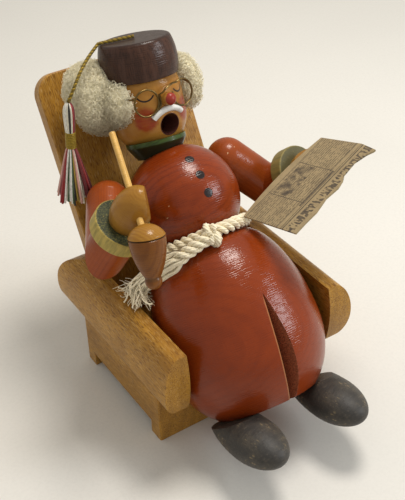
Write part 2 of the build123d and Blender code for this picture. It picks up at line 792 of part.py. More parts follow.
def cord_tube(points, radius, name):
    """A tube along straight runs that are joined by the largest arcs they leave room for."""
    points = [Vector(*point) for point in points]
    radii = []
    for before, here, after in zip(points, points[1:], points[2:]):
        turn = (here - before).get_angle(after - here)
        shorter = min((here - before).length, (after - here).length)
        radii.append(0.45 * shorter / tan(radians(turn) / 2))
    print(name, "bend radii", [round(value, 1) for value in radii])
    path = FilletPolyline(*points, radius=radii)
    tube = sweep(Plane(origin=path @ 0, z_dir=path % 0) * Circle(radius), path=path)
    print(name, "volume ratio", round(tube.volume / (path.length * 3.14159265 * radius ** 2), 4))
    return tube


def cap_cord_ends():
    """Where the cord comes out of the cap's top, and where it leaves the cap's edge."""
    rise = cap_top_rise + cord_radius
    turn = radians(cord_edge_angle)
    start = in_frame(head_frame, 0, 0, rise)
    end = in_frame(head_frame, cap_top_radius * cos(turn), cap_top_radius * sin(turn), rise)
    return start, end


def make_cap_cord():
    start, end = cap_cord_ends()
    return rod(start, end - (end - start).normalized() * 2 * seam, cord_radius)


def make_tassel_cord():
    start = cap_cord_ends()[1]
    end = tassel_top + Vector(0, 0, seam)
    points = [start] + [Vector(*point) for point in cord_points] + [end]
    return cord_tube(points, cord_radius, "tassel cord")


def make_tassel_head():
    """The folded threads above the band, drawn as one rounded piece."""
    low = -tassel_head_length
    side = ThreePointArc((tassel_band_radius, low), (tassel_head_radius, low * 0.55), (cord_radius, 0))
    core = Polyline((cord_radius, 0), (0, 0), (0, low), (tassel_band_radius, low))
    return tassel_frame * turned(side, core)


def make_tassel_band():
    band = Cylinder(tassel_band_radius, tassel_band_length, align=(Align.CENTER, Align.CENTER, Align.MAX))
    return tassel_frame * Pos(0, 0, -tassel_head_length) * band


def make_tassel_skirt():
    top = -tassel_head_length - tassel_band_length
    low = top - tassel_skirt_length
    waist = (tassel_skirt_radius * 0.66, (top + low) / 2)
    flare = ThreePointArc((tassel_skirt_radius, low), waist, (tassel_band_radius, top))
    core = Polyline((tassel_band_radius, top), (0, top), (0, low), (tassel_skirt_radius, low))
    return tassel_frame * turned(flare, core)


parts = {}
parts["seat_block"] = make_seat_block()
parts["armrest_right"], parts["armrest_left"] = make_armrests()
parts["backrest"] = make_backrest()
parts["armrest_dowels"] = Compound(armrest_dowel_rods(armrest_dowel_radius))
parts["backrest_dowels"] = Compound(backrest_dowel_rods(backrest_dowel_radius))
parts["robe"] = make_robe()
parts["robe_dowels"] = Compound(robe_dowel_rods(robe_dowel_radius))
parts["burner_plate"] = make_burner_plate()
parts["shoe_right"] = make_shoe(-1)
parts["shoe_left"] = make_shoe(1)
parts["shoe_dowels"] = Compound(shoe_dowel_rods(shoe_dowel_radius))
parts["belt_rope"] = make_belt_rope()
parts["belt_knot"] = make_belt_knot()
parts["belt_tail"] = make_belt_tail()
parts["torso"] = make_torso()
parts["collar"] = make_collar()
parts["head"] = make_head()
parts["nose"] = make_nose()
parts["moustache"] = make_moustache()
parts["glasses"] = make_glasses()
parts["hair"] = make_hair()
parts["cap"] = make_cap()
parts["cap_dowel"] = make_cap_dowel()
parts["shoulder_dowels"] = Compound(shoulder_dowel_rods(arm_dowel_radius))
parts["elbow_dowels"] = Compound([elbow_dowel_rod(arm, arm_dowel_radius) for arm in (right_arm, left_arm)])
for name, arm in (("right", right_arm), ("left", left_arm)):
    parts["upper_arm_" + name] = make_upper_arm(arm)
    parts["forearm_" + name] = make_forearm(arm)
    parts["cuff_" + name] = make_cuff(arm)
parts["hand_right"] = make_right_hand()
parts["hand_left"] = make_left_hand()
parts["pipe_stem"] = stem_rod(stem_radius)
parts["pipe_bowl"] = make_pipe_bowl()
parts["newspaper"] = make_newspaper()
parts["cap_cord"] = make_cap_cord()
parts["tassel_cord"] = make_tassel_cord()
parts["tassel_head"] = make_tassel_head()
parts["tassel_band"] = make_tassel_band()
parts["tassel_skirt"] = make_tassel_skirt()

os.makedirs("parts", exist_ok=True)
for name, shape in parts.items():
    export_step(shape, "parts/" + name + ".step")
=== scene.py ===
import math
import random
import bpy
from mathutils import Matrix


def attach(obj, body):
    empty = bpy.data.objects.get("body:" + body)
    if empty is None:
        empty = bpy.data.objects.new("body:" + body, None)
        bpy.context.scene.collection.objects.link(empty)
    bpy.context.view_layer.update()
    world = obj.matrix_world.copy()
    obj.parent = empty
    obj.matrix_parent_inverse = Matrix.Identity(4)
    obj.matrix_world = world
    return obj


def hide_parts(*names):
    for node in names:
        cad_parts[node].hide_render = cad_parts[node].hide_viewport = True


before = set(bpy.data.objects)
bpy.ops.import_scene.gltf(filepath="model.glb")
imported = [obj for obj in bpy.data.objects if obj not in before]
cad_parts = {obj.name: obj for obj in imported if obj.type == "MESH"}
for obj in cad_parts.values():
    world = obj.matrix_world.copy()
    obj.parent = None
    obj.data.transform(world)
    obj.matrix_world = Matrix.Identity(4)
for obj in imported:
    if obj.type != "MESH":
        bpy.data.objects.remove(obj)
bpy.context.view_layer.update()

from types import SimpleNamespace

import bmesh
import bpy
from bpy.props import FloatProperty, FloatVectorProperty, IntProperty, PointerProperty
from mathutils import Color, Matrix, Vector, noise

bl_info = {
    "name": "Seated Smoking Figure",
    "version": (1, 0, 0),
    "blender": (4, 5, 0),
    "location": "3D View > Sidebar > Smoker",
    "description": "Dresses the turned wooden smoking figure and its lounge chair",
    "category": "Object",
}

MM = 0.001


# Frames and places on the object: lengths in millimetres, angles in degrees


def place(origin, turn=(0, 0, 0)):
    """A local frame from its origin and its turns about its own X, Y and Z in degrees."""
    rx, ry, rz = (math.radians(angle) for angle in turn)
    spin = Matrix.Rotation(rx, 4, "X") @ Matrix.Rotation(ry, 4, "Y") @ Matrix.Rotation(rz, 4, "Z")
    return Matrix.Translation(Vector(origin) * MM) @ spin


def facing(origin, out, side):
    """A local frame whose Z looks out and whose X leans towards side; origin in metres."""
    z = Vector(out).normalized()
    x = Vector(side)
    x = (x - z * x.dot(z)).normalized()
    turn = Matrix((x, z.cross(x), z)).transposed()
    return Matrix.Translation(origin) @ turn.to_4x4()


def spot(where, x, y, z):
    """A point of a local frame, given in millimetres, in the object's metres."""
    return where @ (Vector((x, y, z)) * MM)


def round_z(where, turn, reach, rise=0.0):
    """A point at a turn, in radians, round a local frame's Z."""
    return spot(where, reach * math.cos(turn), reach * math.sin(turn), rise)


BODY = place((0, 35.7, 81.4), (-41.5, 0, 0))
TORSO_RADIUS = 22.7
BUTTON_ANGLES = (55, 75.5, 95)
BUTTON_EDGE = (2.1, 1.85)
CUT_START = (0, -31.85, -44.7)
CUT_END = (0, -17.8, -87.5)
CUT_HALF_ANGLE = 21.0
BACKREST = place((0, 30, 0), (-28, 0, 0))

HEAD_RISE = 37.4
HEAD = Matrix.Translation(BODY @ Vector((0, 0, HEAD_RISE * MM))) @ place((0, 0, 0), (-16.5, 1, 5))
HEAD_RADIUS = 15.3
HEAD_TOP_RISE = 16.3
HEAD_TOP_RADIUS = 13.4
COLLAR_RISE = 26.8
COLLAR = Matrix.Translation(BODY @ Vector((0, 0, COLLAR_RISE * MM))) @ place((-1.4, 0, 0), (-27.2, 3, 0))
CHEEK = (36.7, 1.8)
EYE = (31.7, 10.2)
EYE_ARC_RISE = 2.5
EYE_ARC_RADIUS = 3.75
NOSE_HEIGHT = 8.2
MOUTH_HEIGHT = -2.2
MOUTH_EDGE = (4.7, 4.36)
LENS_RADIUS = 5.2
LENS_HEIGHT = 8.6
LENS_LIFT = 1.9
# Longitude, height and lift of the wire's way over the nose
BRIDGE = ((-7, 11.6, 2.7), (-3.5, 12.5, 2.9), (1, 13.0, 2.8), (6, 13.3, 2.5), (11, 13.6, 2.3))

RIGHT_ELBOW = (-40.08, 26.89, 80.11)
RIGHT_UPPER = (-0.4887, -0.8405, -0.2339)
RIGHT_FORE = (0.2873, -0.4081, 0.8665)
RIGHT_CUFF = (-35.62, 20.56, 93.54)
LEFT_ELBOW = (44.09, 38.19, 70.1)
LEFT_UPPER = (0.6597, -0.3599, -0.6597)
LEFT_FORE = (0.2342, -0.7357, 0.6355)
LEFT_CUFF = (49.13, 22.37, 83.76)
BOWL = (-36.6, 2.1, 98.8)
BOWL_WAY = (0.10, 0.36, 0.93)
STEM_BELOW_LID = 4.0
STEM_TOP = (-27.0, 40.9, 119.3)
PAPER = (37.4, 2.65, 92.55)
PAPER_ALONG = (0.93, 0.19, 0.32)
PAPER_OUT = (-0.35, 0.18, 0.92)

BELT_RING = 19.44
BELT_DROP = 16.5
BELT_GAP = 12.0
KNOT = (-5.47, 7.68, 82.82)
KNOT_ANGLE = 14.0
KNOT_RADIUS = 2.6
KNOT_RISE = 2.2
TAIL_ROUTE = [(-6.07, 5.86, 84.43), (-14.6, 7.6, 80.2), (-20.8, 10.0, 75.4), (-25.8, 15.2, 69.4),
              (-29.5, 20.5, 62.5)]
# Where along the tail its strands begin to open, and over how much of it they do
TAIL_OPENS = 0.38
TAIL_OPENING = 0.16
# The box in which the fray's tips end, and the spans of the fibres' curls
FRAY_TIPS = ((-38.0, -29.5), (11.5, 30.5), (55.6, 58.6))
FRAY_CURL = ((-1, 1), (-1, 1), (-0.3, 1.0))
FRAY_OTHER = ((-1, 1), (-1, 1), (-0.2, 0.8))
FRAY_FIBRES = 6
FRAY_STEPS = 18
FRAY_RADIUS = 0.28

# The rope's lay: reaches as shares of its radius, the yarns' lay as a share of the strands'
STRANDS = 3
YARNS = 6
STRAND_REACH = 0.535
YARN_REACH = 0.3
YARN_LAY = 1.3
OPEN_WIDER = 0.75
OPEN_FLATTER = 0.35
YARN_SWAY = 0.16
SWAYS_PER_METRE = 260
# Without a seed the sway would follow the clock, and each run would lay another rope
SWAY_SEED = 1795785884

# Middles and half axes of the wool's balls in the head's frame
WOOL = [((-17.6, 4.4, 9.6), (11.4, 7.0, 12.4)), ((-17.7, 10.5, 13.9), (10.0, 12.8, 11.2)),
        ((-13.9, -3.6, 8.6), (5.6, 6.8, 8.6)), ((20.0, 0.2, 8.8), (5.6, 7.8, 11.0)),
        ((20.2, 7.6, 11.4), (5.6, 8.0, 8.6)), ((21.2, 14.9, 14.3), (6.9, 6.6, 6.8)),
        ((2.0, 15.0, 8.0), (15.0, 7.5, 10.0))]
WOOL_OFF_BOARD = 4.8
CURLS_OFF_BOARD = 4.5
WOOL_VOXEL = 0.8
LUMP = 0.7
LINT = 0.3
SINK = 0.6
CURL_STEPS = 7

CAP_CORD = [(0.56, 69.58, 140.14), (-12.92, 73.6, 139.19)]
CORD_ROUTE = [(-12.92, 73.6, 139.19), (-19.8, 69.5, 137.3), (-27.6, 63.0, 134.4), (-31.9, 60.3, 130.4),
              (-34.6, 60.2, 126.35)]
CORD_LAY = 1.9
PLY_REACH = 0.36
PLY_RADIUS = 0.38
TASSEL = place((-34.6, 60.2, 126.0), (0, 3.1, 0))
TASSEL_HEAD = 12.0
TASSEL_BAND = 7.0
BAND_TOP = -12.1
BAND_RADIUS = 1.8
BAND_TURNS = 10
BAND_STEPS = 24
SKIRT_TOP = -19.2
SKIRT_LENGTH = 23.2
RIGHT_OF_VIEW = math.radians(-24.0)
THREADS = (("cream", 226, 220, 200), ("red", 150, 34, 36), ("black", 40, 38, 34), ("green", 62, 86, 50),
           ("gold", 178, 150, 62), ("pink", 214, 164, 152), ("dark_red", 104, 24, 28),
           ("white", 234, 230, 222))
# Numbers of the threads' colours, from the viewer's left to the right
HEAD_ORDER = (0, 7, 0, 7, 2, 4, 0, 1, 6)
SKIRT_ORDER = (5, 1, 1, 7, 0, 3, 7, 3, 2, 4, 5, 0, 1, 6, 1, 6)
ANY_PHASE = (0, 6.28)

# Second tones of the finishes, as linear light

PALE_FLECK = (0.66, 0.46, 0.20, 1.0)
RUBBED_EDGE = (0.42, 0.17, 0.065, 1.0)
RAW_DARK = (0.11, 0.03, 0.016, 1.0)
RAW_LIGHT = (0.30, 0.09, 0.045, 1.0)
NICK = (0.62, 0.42, 0.25, 1.0)
SHOE_BLACK = (0.012, 0.011, 0.010, 1.0)
SHOE_CHIP = (0.26, 0.19, 0.10, 1.0)
TIN = (0.42, 0.42, 0.43, 1.0)
SOOT = (0.05, 0.045, 0.04, 1.0)
BRUSH_GREY = (0.5, 0.49, 0.46, 1.0)
COLLAR_WORN = (0.20, 0.24, 0.10, 1.0)
# Painted shade on the collar's lower edge
COLLAR_PAINTED_SHADE = (0.008, 0.011, 0.006, 1.0)
TARNISH = (0.10, 0.075, 0.035, 1.0)
CAP_RED = (0.10, 0.048, 0.034, 1.0)
CAP_CRACK = (0.01, 0.008, 0.008, 1.0)
CUFF_DEEP = (0.028, 0.036, 0.018, 1.0)
# Painted shade of the newspaper on the left cuff
CUFF_PAINTED_SHADE = (0.10, 0.085, 0.035, 1.0)
BOWL_SCORE = (0.06, 0.032, 0.013, 1.0)
BOWL_NECK = (0.07, 0.04, 0.018, 1.0)
PAPER_FIBRE = (0.165, 0.115, 0.06, 1.0)
PAPER_STAIN = (0.14, 0.105, 0.065, 1.0)
# Painted shade in the cotton's hollows
COTTON_HOLLOW_PAINTED_SHADE = (0.50, 0.42, 0.30, 1.0)
COTTON_SOIL = (0.52, 0.44, 0.31, 1.0)
# Painted shade in the wool's hollows
WOOL_HOLLOW_PAINTED_SHADE = (0.56, 0.49, 0.36, 1.0)
WOOL_TUFT = (0.66, 0.58, 0.42, 1.0)
# Painted shade low on the wool, on the figure's right
WOOL_LOW_PAINTED_SHADE = (0.34, 0.255, 0.13, 1.0)
# Painted shade in the gold thread's hollows
GOLD_HOLLOW_PAINTED_SHADE = (0.10, 0.07, 0.012, 1.0)
ROOM_TINT = (1.0, 0.975, 0.90, 1.0)


def face_girth(height):
    """The head's radius at a height above its middle."""
    if height <= 0:
        return math.sqrt(HEAD_RADIUS ** 2 - height ** 2)
    bulge = math.sqrt(1 - (height / HEAD_TOP_RISE) ** 2)
    return HEAD_TOP_RADIUS + (HEAD_RADIUS - HEAD_TOP_RADIUS) * bulge


def on_face(longitude, height, lift=0.0):
    """A point on the head, or above it, in metres in the object's frame."""
    return round_z(HEAD, math.radians(longitude - 90), face_girth(height) + lift, height)


def face_frame(longitude, height):
    """A frame on the face with X to the viewer's right, Y up and Z out."""
    turn = math.radians(longitude)
    spin = HEAD.to_3x3()
    out = spin @ Vector((math.sin(turn), -math.cos(turn), height * 0.012))
    side = spin @ Vector((math.cos(turn), math.sin(turn), 0))
    return facing(on_face(longitude, height), out, side)


# Settings that a user would change


def shade(name, what, red, green, blue):
    """A colour for the panel, given as 0 to 255."""
    return FloatVectorProperty(name=name, description=what, subtype="COLOR_GAMMA", size=3, min=0.0, max=1.0,
                               default=(red / 255, green / 255, blue / 255))


def millimetres(name, what, value):
    """A length for the panel, kept in metres."""
    return FloatProperty(name=name, description=what, subtype="DISTANCE", unit="LENGTH", min=0.0,
                         default=value * MM, precision=5)


def count(name, what, value, least):
    """A number of threads or curls for the panel."""
    return IntProperty(name=name, description=what, default=value, min=least)


def position(name, what, value):
    """A point for the panel, in metres."""
    return FloatVectorProperty(name=name, description=what, subtype="TRANSLATION", unit="LENGTH",
                               default=value)


def watts(name, what, value):
    """A lamp's power for the panel."""
    return FloatProperty(name=name, description=what, unit="POWER", default=value, min=0.0)


class SmokerColours(bpy.types.PropertyGroup):
    """Colours of the lacquers, woods and threads."""

    robe: shade("Robe", "Brick-red lacquer on robe and torso", 133, 51, 10)
    robe_dark: shade("Robe rings", "Growth rings under the red lacquer", 80, 20, 6)
    arms: shade("Arms", "Lighter brick-red lacquer on the arms", 152, 70, 23)
    arms_dark: shade("Arm rings", "Growth rings under the arms' lacquer", 98, 34, 12)
    chair: shade("Chair", "Honey lacquer on the beech chair", 180, 131, 50)
    chair_dark: shade("Chair pores", "Pores and darker figure of the beech", 118, 76, 26)
    face: shade("Face", "Pale lacquered wood of the head", 170, 119, 50)
    face_dark: shade("Face figure", "Darker figure of the head's wood", 138, 86, 30)
    cheek: shade("Cheeks", "Brick-red paint on the cheeks", 142, 46, 24)
    lips: shade("Mouth", "Dark paint inside the mouth", 84, 48, 42)
    ink: shade("Eyes and buttons", "Black-brown paint of eyes and buttons", 34, 27, 27)
    nose_tip: shade("Nose tip", "Red paint on the end of the nose", 142, 48, 36)
    hand: shade("Hands", "Pale wood of the hands and the bowl's lid", 158, 112, 42)
    hand_dark: shade("Hand figure", "Darker figure of the pale wood", 130, 82, 26)
    stem: shade("Stem", "Pale wood of the pipe's stem", 222, 178, 100)
    bowl: shade("Bowl", "Stained wood of the pipe's bowl", 126, 76, 28)
    bowl_dark: shade("Bowl figure", "Darker figure of the bowl's wood", 92, 48, 16)
    cap: shade("Cap", "Walnut stain of the cap", 72, 45, 33)
    cap_dark: shade("Cap grain", "Dark grain of the cap", 38, 24, 20)
    shoe: shade("Shoes", "Black-brown paint of the shoes", 50, 47, 44)
    shoe_worn: shade("Shoe scuffs", "Worn places on the shoes", 104, 94, 80)
    collar: shade("Collar", "Dark green paint of the collar", 60, 80, 25)
    cuff: shade("Cuff face", "Speckled green face of a cuff", 98, 98, 56)
    cuff_band: shade("Cuff band", "Olive band round a cuff", 184, 160, 82)
    moustache: shade("Moustache", "White paint of the moustache", 218, 217, 212)
    wool: shade("Wool", "Cream wool of the hair", 250, 241, 210)
    cotton: shade("Cotton", "Cream cotton of the belt", 248, 237, 208)
    paper: shade("Paper", "Kraft paper of the newspaper", 162, 143, 109)
    print_ink: shade("Print", "Faded printing ink", 58, 52, 52)
    gold: shade("Gold thread", "Gold thread of cord and band", 172, 143, 50)
    brass: shade("Brass", "Brass wire of the glasses", 120, 97, 56)
    floor: shade("Floor", "Pale floor under the object", 226, 223, 217)


class SmokerSizes(bpy.types.PropertyGroup):
    """Sizes and counts of the soft pieces and the fine detail."""

    ring_gap: millimetres("Growth rings", "Distance between growth rings of the turned wood", 1.2)
    rope_radius: millimetres("Rope radius", "Half the thickness of the rope belt", 2.75)
    rope_lay: millimetres("Rope lay", "Length in which a strand goes once round the rope", 10.0)
    yarn_radius: millimetres("Yarn radius", "Half the thickness of one yarn of the rope", 0.5)
    curl_radius: millimetres("Wool fibre", "Half the thickness of a curl of wool", 0.075)
    curls: count("Curls", "Number of wool curls on the tuft", 11000, 10)
    thread_radius: millimetres("Tassel thread", "Half the thickness of a tassel thread", 0.42)
    skirt_threads: count("Skirt threads", "Number of threads in the skirt", 110, 8)
    head_threads: count("Head threads", "Number of threads round the tassel's head", 16, 6)
    wire_radius: millimetres("Wire radius", "Half the thickness of the glasses' wire", 0.4)


class SmokerStage(bpy.types.PropertyGroup):
    """Camera and light."""

    camera_place: position("Camera", "Where the camera stands", (-0.17235, -0.25036, 0.30524))
    camera_target: position("Target", "The point in the middle of the picture", (0.00036, 0.02378, 0.0634))
    camera_roll: FloatProperty(name="Roll", description="Turn of the picture", subtype="ANGLE",
                               default=math.radians(-1.94))
    lens: FloatProperty(name="Lens", description="Focal length in millimetres", unit="CAMERA", default=71.55,
                        min=10.0)
    lamp: watts("Lamp", "Power of the softbox overhead", 2.6)
    window: watts("Window", "Power of the softbox at the front right", 2.0)
    fill: FloatProperty(name="Fill", description="Strength of the light from all round", default=0.56,
                        min=0.0)


def setting_names(group):
    """The names of a group's own settings."""
    return [key for key in group.bl_rna.properties.keys() if key not in ("rna_type", "name")]


# Materials


def linear(colour):
    """A panel colour as the shader wants it."""
    red, green, blue = Color(colour).from_srgb_to_scene_linear()
    return (red, green, blue, 1.0)


def darkened(colour, share):
    """A share of a colour's light."""
    return (*(value * share for value in colour[:3]), 1.0)


def palette(context):
    """The panel's colours by name, as the shaders want them."""
    colours = context.scene.smoker_colours
    return SimpleNamespace(**{key: linear(getattr(colours, key)) for key in setting_names(colours)})


# The wave node's scale that gives one wave in each unit of length
ONE_WAVE = 0.314159


class Finish:
    """A material that is put together node by node, with lengths in millimetres."""

    def __init__(self, name, **constants):
        self.material = bpy.data.materials.new(name)
        self.material.use_nodes = True
        self.tree = self.material.node_tree
        self.shader = self.tree.nodes["Principled BSDF"]
        for socket, value in constants.items():
            self.shader.inputs[socket.replace("_", " ")].default_value = value
        self.normal = None

    def put(self, socket, value):
        if isinstance(value, bpy.types.NodeSocket):
            self.tree.links.new(value, socket)
        else:
            socket.default_value = value

    def add(self, kind, settings=None, inputs=None):
        made = self.tree.nodes.new("ShaderNode" + kind)
        for key, value in (settings or {}).items():
            setattr(made, key, value)
        for key, value in (inputs or {}).items():
            self.put(made.inputs[key], value)
        return made

    def coords(self, where=None, stretch=(1, 1, 1)):
        """Millimetres in a local frame; a stretch above 1 draws a pattern out along that axis."""
        where = where or Matrix.Identity(4)
        source = self.add("TexCoord").outputs["Object"]
        mapping = self.add("Mapping", {"vector_type": "TEXTURE"}, {"Vector": source})
        mapping.inputs["Location"].default_value = where.translation
        mapping.inputs["Rotation"].default_value = where.to_euler("XYZ")
        mapping.inputs["Scale"].default_value = [MM * share for share in stretch]
        return mapping.outputs["Vector"]

    def noise(self, size, detail=2.0, rough=0.5, where=None, stretch=(1, 1, 1)):
        """Noise with blots of a size in a local frame."""
        inputs = {"Vector": self.coords(where, stretch), "Scale": 1 / size, "Detail": detail,
                  "Roughness": rough}
        return self.add("TexNoise", None, inputs).outputs["Fac"]

    def rings(self, gap, wobble, where, stretch):
        """Growth rings round the frame's Z."""
        settings = {"wave_type": "RINGS", "rings_direction": "Z"}
        inputs = {"Vector": self.coords(where, stretch), "Scale": ONE_WAVE / gap, "Distortion": wobble,
                  "Detail": 2.0, "Detail Scale": 0.6}
        return self.add("TexWave", settings, inputs).outputs["Fac"]

    def bands(self, gap, wobble, axis, where, stretch=(1, 1, 1)):
        """Waves along one of the frame's axes."""
        settings = {"wave_type": "BANDS", "bands_direction": axis}
        inputs = {"Vector": self.coords(where, stretch), "Scale": ONE_WAVE / gap, "Distortion": wobble}
        return self.add("TexWave", settings, inputs).outputs["Fac"]

    def step(self, value, low, high):
        """0 up to low, 1 from high on, smooth between them; low may also be the larger one."""
        inputs = {"Value": value, "From Min": low, "From Max": high}
        return self.add("MapRange", {"interpolation_type": "SMOOTHSTEP"}, inputs).outputs["Result"]

    def math(self, operation, first, second=0.0):
        made = self.add("Math", {"operation": operation})
        self.put(made.inputs[0], first)
        self.put(made.inputs[1], second)
        return made.outputs[0]

    def fold(self, operation, values):
        """Joins any number of values by one operation."""
        total, *rest = values
        for value in rest:
            total = self.math(operation, total, value)
        return total

    def product(self, *values):
        return self.fold("MULTIPLY", values)

    def union(self, *masks):
        return self.fold("MAXIMUM", masks)

    def inverse(self, mask):
        return self.math("SUBTRACT", 1.0, mask)

    def scaled(self, value, gain, base):
        return self.math("ADD", self.product(value, gain), base)

    def from_line(self, value, line):
        """Distance of a coordinate from a line across its axis."""
        return self.math("ABSOLUTE", self.math("SUBTRACT", value, line))

    def ragged(self, value, reach, size, detail=2.0):
        """A measure that wanders by up to a reach, so that its limit gets a ragged edge."""
        return self.math("ADD", value, self.product(self.noise(size, detail), reach))

    def blend(self, factor, first, second):
        made = self.add("Mix", {"data_type": "RGBA", "blend_type": "MIX"})
        self.put(made.inputs[0], factor)
        self.put(made.inputs[6], first)
        self.put(made.inputs[7], second)
        return made.outputs[2]

    def stain(self, tone, colour, pattern, low, high, share=1.0):
        """Lays a share of a colour over a tone where a pattern goes from low to high."""
        return self.blend(self.product(self.step(pattern, low, high), share), tone, colour)

    def axes(self, where):
        """A point's three coordinates in a local frame."""
        return tuple(self.add("SeparateXYZ", None, {"Vector": self.coords(where)}).outputs)

    def span(self, first, second):
        """Distance from an axis, from two of a point's coordinates."""
        squares = self.math("ADD", self.math("POWER", first, 2.0), self.math("POWER", second, 2.0))
        return self.math("SQRT", squares)

    def away(self, centre):
        """Distance from a point that is given in metres."""
        vector = self.coords(Matrix.Translation(centre))
        return self.add("VectorMath", {"operation": "LENGTH"}, {"Vector": vector}).outputs["Value"]

    def colour(self, value):
        self.put(self.shader.inputs["Base Color"], value)

    def rough(self, value, low, high):
        """Roughness that varies from low to high."""
        inputs = {"Value": value, "To Min": low, "To Max": high}
        self.put(self.shader.inputs["Roughness"], self.add("MapRange", None, inputs).outputs["Result"])

    def bump(self, height, depth):
        """Adds a relief of a depth under the lacquer and in it."""
        made = self.add("Bump", None, {"Height": height, "Distance": depth * MM, "Strength": 1.0})
        if self.normal is not None:
            self.put(made.inputs["Normal"], self.normal)
        self.normal = made.outputs["Normal"]
        self.put(self.shader.inputs["Normal"], self.normal)
        self.put(self.shader.inputs["Coat Normal"], self.normal)

    def wear(self, node):
        """Gives the finish to a carried-over solid."""
        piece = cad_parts[node]
        piece.data.materials.clear()
        piece.data.materials.append(self.material)


def turned_wood(name, grain, light, dark, ring_gap, gloss, contrast=1.0, lathe=0.8, coat=0.3):
    """Lacquered wood with growth rings round the grain, fibres along it and fine lathe lines across it."""
    finish = Finish(name, Coat_Weight=coat, Coat_Roughness=0.13, Specular_IOR_Level=0.12)
    rings = finish.rings(ring_gap, 1.6, grain @ place((7, 4, 0)), (1, 1, 9))
    fibre = finish.noise(0.55, 3.0, 0.6, grain, (1, 1, 14))
    cloud = finish.noise(9.0, 2.0, 0.5, grain, (1, 1, 6))
    spread = finish.scaled(finish.step(cloud, 0.3, 0.75), 0.6, 0.4)
    figure = finish.product(finish.step(rings, 0.5, 0.98), spread, 0.42 * contrast)
    tone = finish.blend(figure, light, dark)
    tone = finish.stain(tone, dark, fibre, 0.5, 0.78, 0.35 * contrast)
    tone = finish.stain(tone, dark, finish.noise(16.0, 3.0, 0.5, grain), 0.35, 0.7, 0.22)
    broken = finish.step(finish.noise(1.6, 3.0, 0.6, grain, (3, 3, 1)), 0.4, 0.65)
    lines = finish.product(finish.bands(lathe, 2.2, "Z", grain), broken)
    tone = finish.blend(finish.product(lines, 0.3 * contrast), tone, dark)
    finish.bump(finish.inverse(lines), 0.05)
    finish.bump(fibre, 0.045)
    finish.rough(finish.noise(2.2, 4.0, 0.5, grain, (1, 1, 6)), gloss - 0.08, gloss + 0.12)
    return finish, tone


def beech(name, grain, paint, dark_share=1.0):
    """Honey-lacquered beech with its short dark pores along the grain."""
    finish = Finish(name, Coat_Weight=0.24, Coat_Roughness=0.3, Specular_IOR_Level=0.15)
    dark = paint.chair_dark
    figure = finish.bands(5.5, 4.0, "X", grain, (1, 1, 40))
    cloud = finish.noise(6.0, 3.0, 0.5, grain, (1, 1, 10))
    tone = finish.blend(finish.product(figure, cloud, 0.55 * dark_share), paint.chair, dark)
    streak = finish.noise(0.9, 4.0, 0.65, grain, (1, 1, 22))
    tone = finish.stain(tone, dark, streak, 0.45, 0.75, 0.5 * dark_share)
    pale = finish.noise(0.42, 3.0, 0.6, grain, (1, 1, 8))
    tone = finish.stain(tone, PALE_FLECK, pale, 0.52, 0.7, 0.5)
    pores = finish.step(finish.noise(0.4, 1.5, 0.45, grain, (1, 1, 7)), 0.53, 0.65)
    tone = finish.blend(finish.product(pores, 0.8), tone, dark)
    finish.colour(finish.stain(tone, dark, finish.noise(20.0, 3.0), 0.4, 0.75, 0.42 * dark_share))
    finish.bump(finish.inverse(pores), 0.035)
    finish.rough(cloud, 0.32, 0.5)
    return finish


# Pieces


def link(name, data):
    """A new object in the scene."""
    made = bpy.data.objects.new(name, data)
    bpy.context.scene.collection.objects.link(made)
    return made


def stored(shape, name):
    """The stored mesh of an edited shape, which is freed."""
    mesh = bpy.data.meshes.new(name)
    shape.to_mesh(mesh)
    shape.free()
    return mesh


def keep(piece, body, slot, *nodes):
    """Shows a new piece on its body in place of the solids that it stands for."""
    piece.data.polygons.foreach_set("use_smooth", [True] * len(piece.data.polygons))
    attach(piece, body)
    if nodes:
        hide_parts(*nodes)
    return piece


def new_curve(name):
    curve = bpy.data.curves.new(name, "CURVE")
    curve.dimensions = "3D"
    return curve


def curve_mesh(curve):
    """The mesh of a curve, which is then removed."""
    holder = bpy.data.objects.new("runs", curve)
    mesh = bpy.data.meshes.new_from_object(holder)
    bpy.data.objects.remove(holder)
    bpy.data.curves.remove(curve)
    return mesh


def tubes(name, runs, radius, finishes, sides=1, caps=True):
    """Round tubes along runs of points, joined into one piece; a run is (points, finish number, radii)."""
    curve = new_curve(name)
    curve.bevel_depth = radius
    curve.bevel_resolution = sides
    curve.use_fill_caps = caps
    for finish in finishes:
        curve.materials.append(finish.material)
    for points, number, radii in runs:
        spline = curve.splines.new("POLY")
        spline.points.add(len(points) - 1)
        spline.points.foreach_set("co", [value for point in points for value in (*point, 1.0)])
        if radii:
            spline.points.foreach_set("radius", radii)
        spline.material_index = number
        spline.use_smooth = True
    mesh = curve_mesh(curve)
    mesh.name = name
    return link(name, mesh)


def smooth_route(points):
    """Points of the NURBS line that a route's points control, in metres."""
    curve = new_curve("route")
    curve.resolution_u = 24
    spline = curve.splines.new("NURBS")
    spline.points.add(len(points) - 1)
    for knob, point in zip(spline.points, points):
        knob.co = (*(Vector(point) * MM), 1.0)
    spline.order_u = 3
    spline.use_endpoint_u = True
    mesh = curve_mesh(curve)
    line = [vert.co.copy() for vert in mesh.vertices]
    bpy.data.meshes.remove(mesh)
    return line


def along(line, number_of_marks):
    """Evenly spread points of a line, with how far along each one is."""
    marks = [0.0]
    for first, second in zip(line, line[1:]):
        marks.append(marks[-1] + (second - first).length)
    found = []
    here = 0
    for number in range(number_of_marks):
        goal = marks[-1] * number / (number_of_marks - 1)
        while here < len(line) - 2 and marks[here + 1] < goal:
            here += 1
        gap = marks[here + 1] - marks[here]
        share = (goal - marks[here]) / gap if gap else 0.0
        found.append((line[here].lerp(line[here + 1], share), goal))
    return found


def side_ways(points, first):
    """Two directions across a line at each of its points, carried along without twisting."""
    ways = []
    side = Vector(first)
    for number in range(len(points)):
        before = points[max(number - 1, 0)]
        after = points[min(number + 1, len(points) - 1)]
        run = (after - before).normalized()
        side = (side - run * side.dot(run)).normalized()
        ways.append((side, run.cross(side)))
    return ways


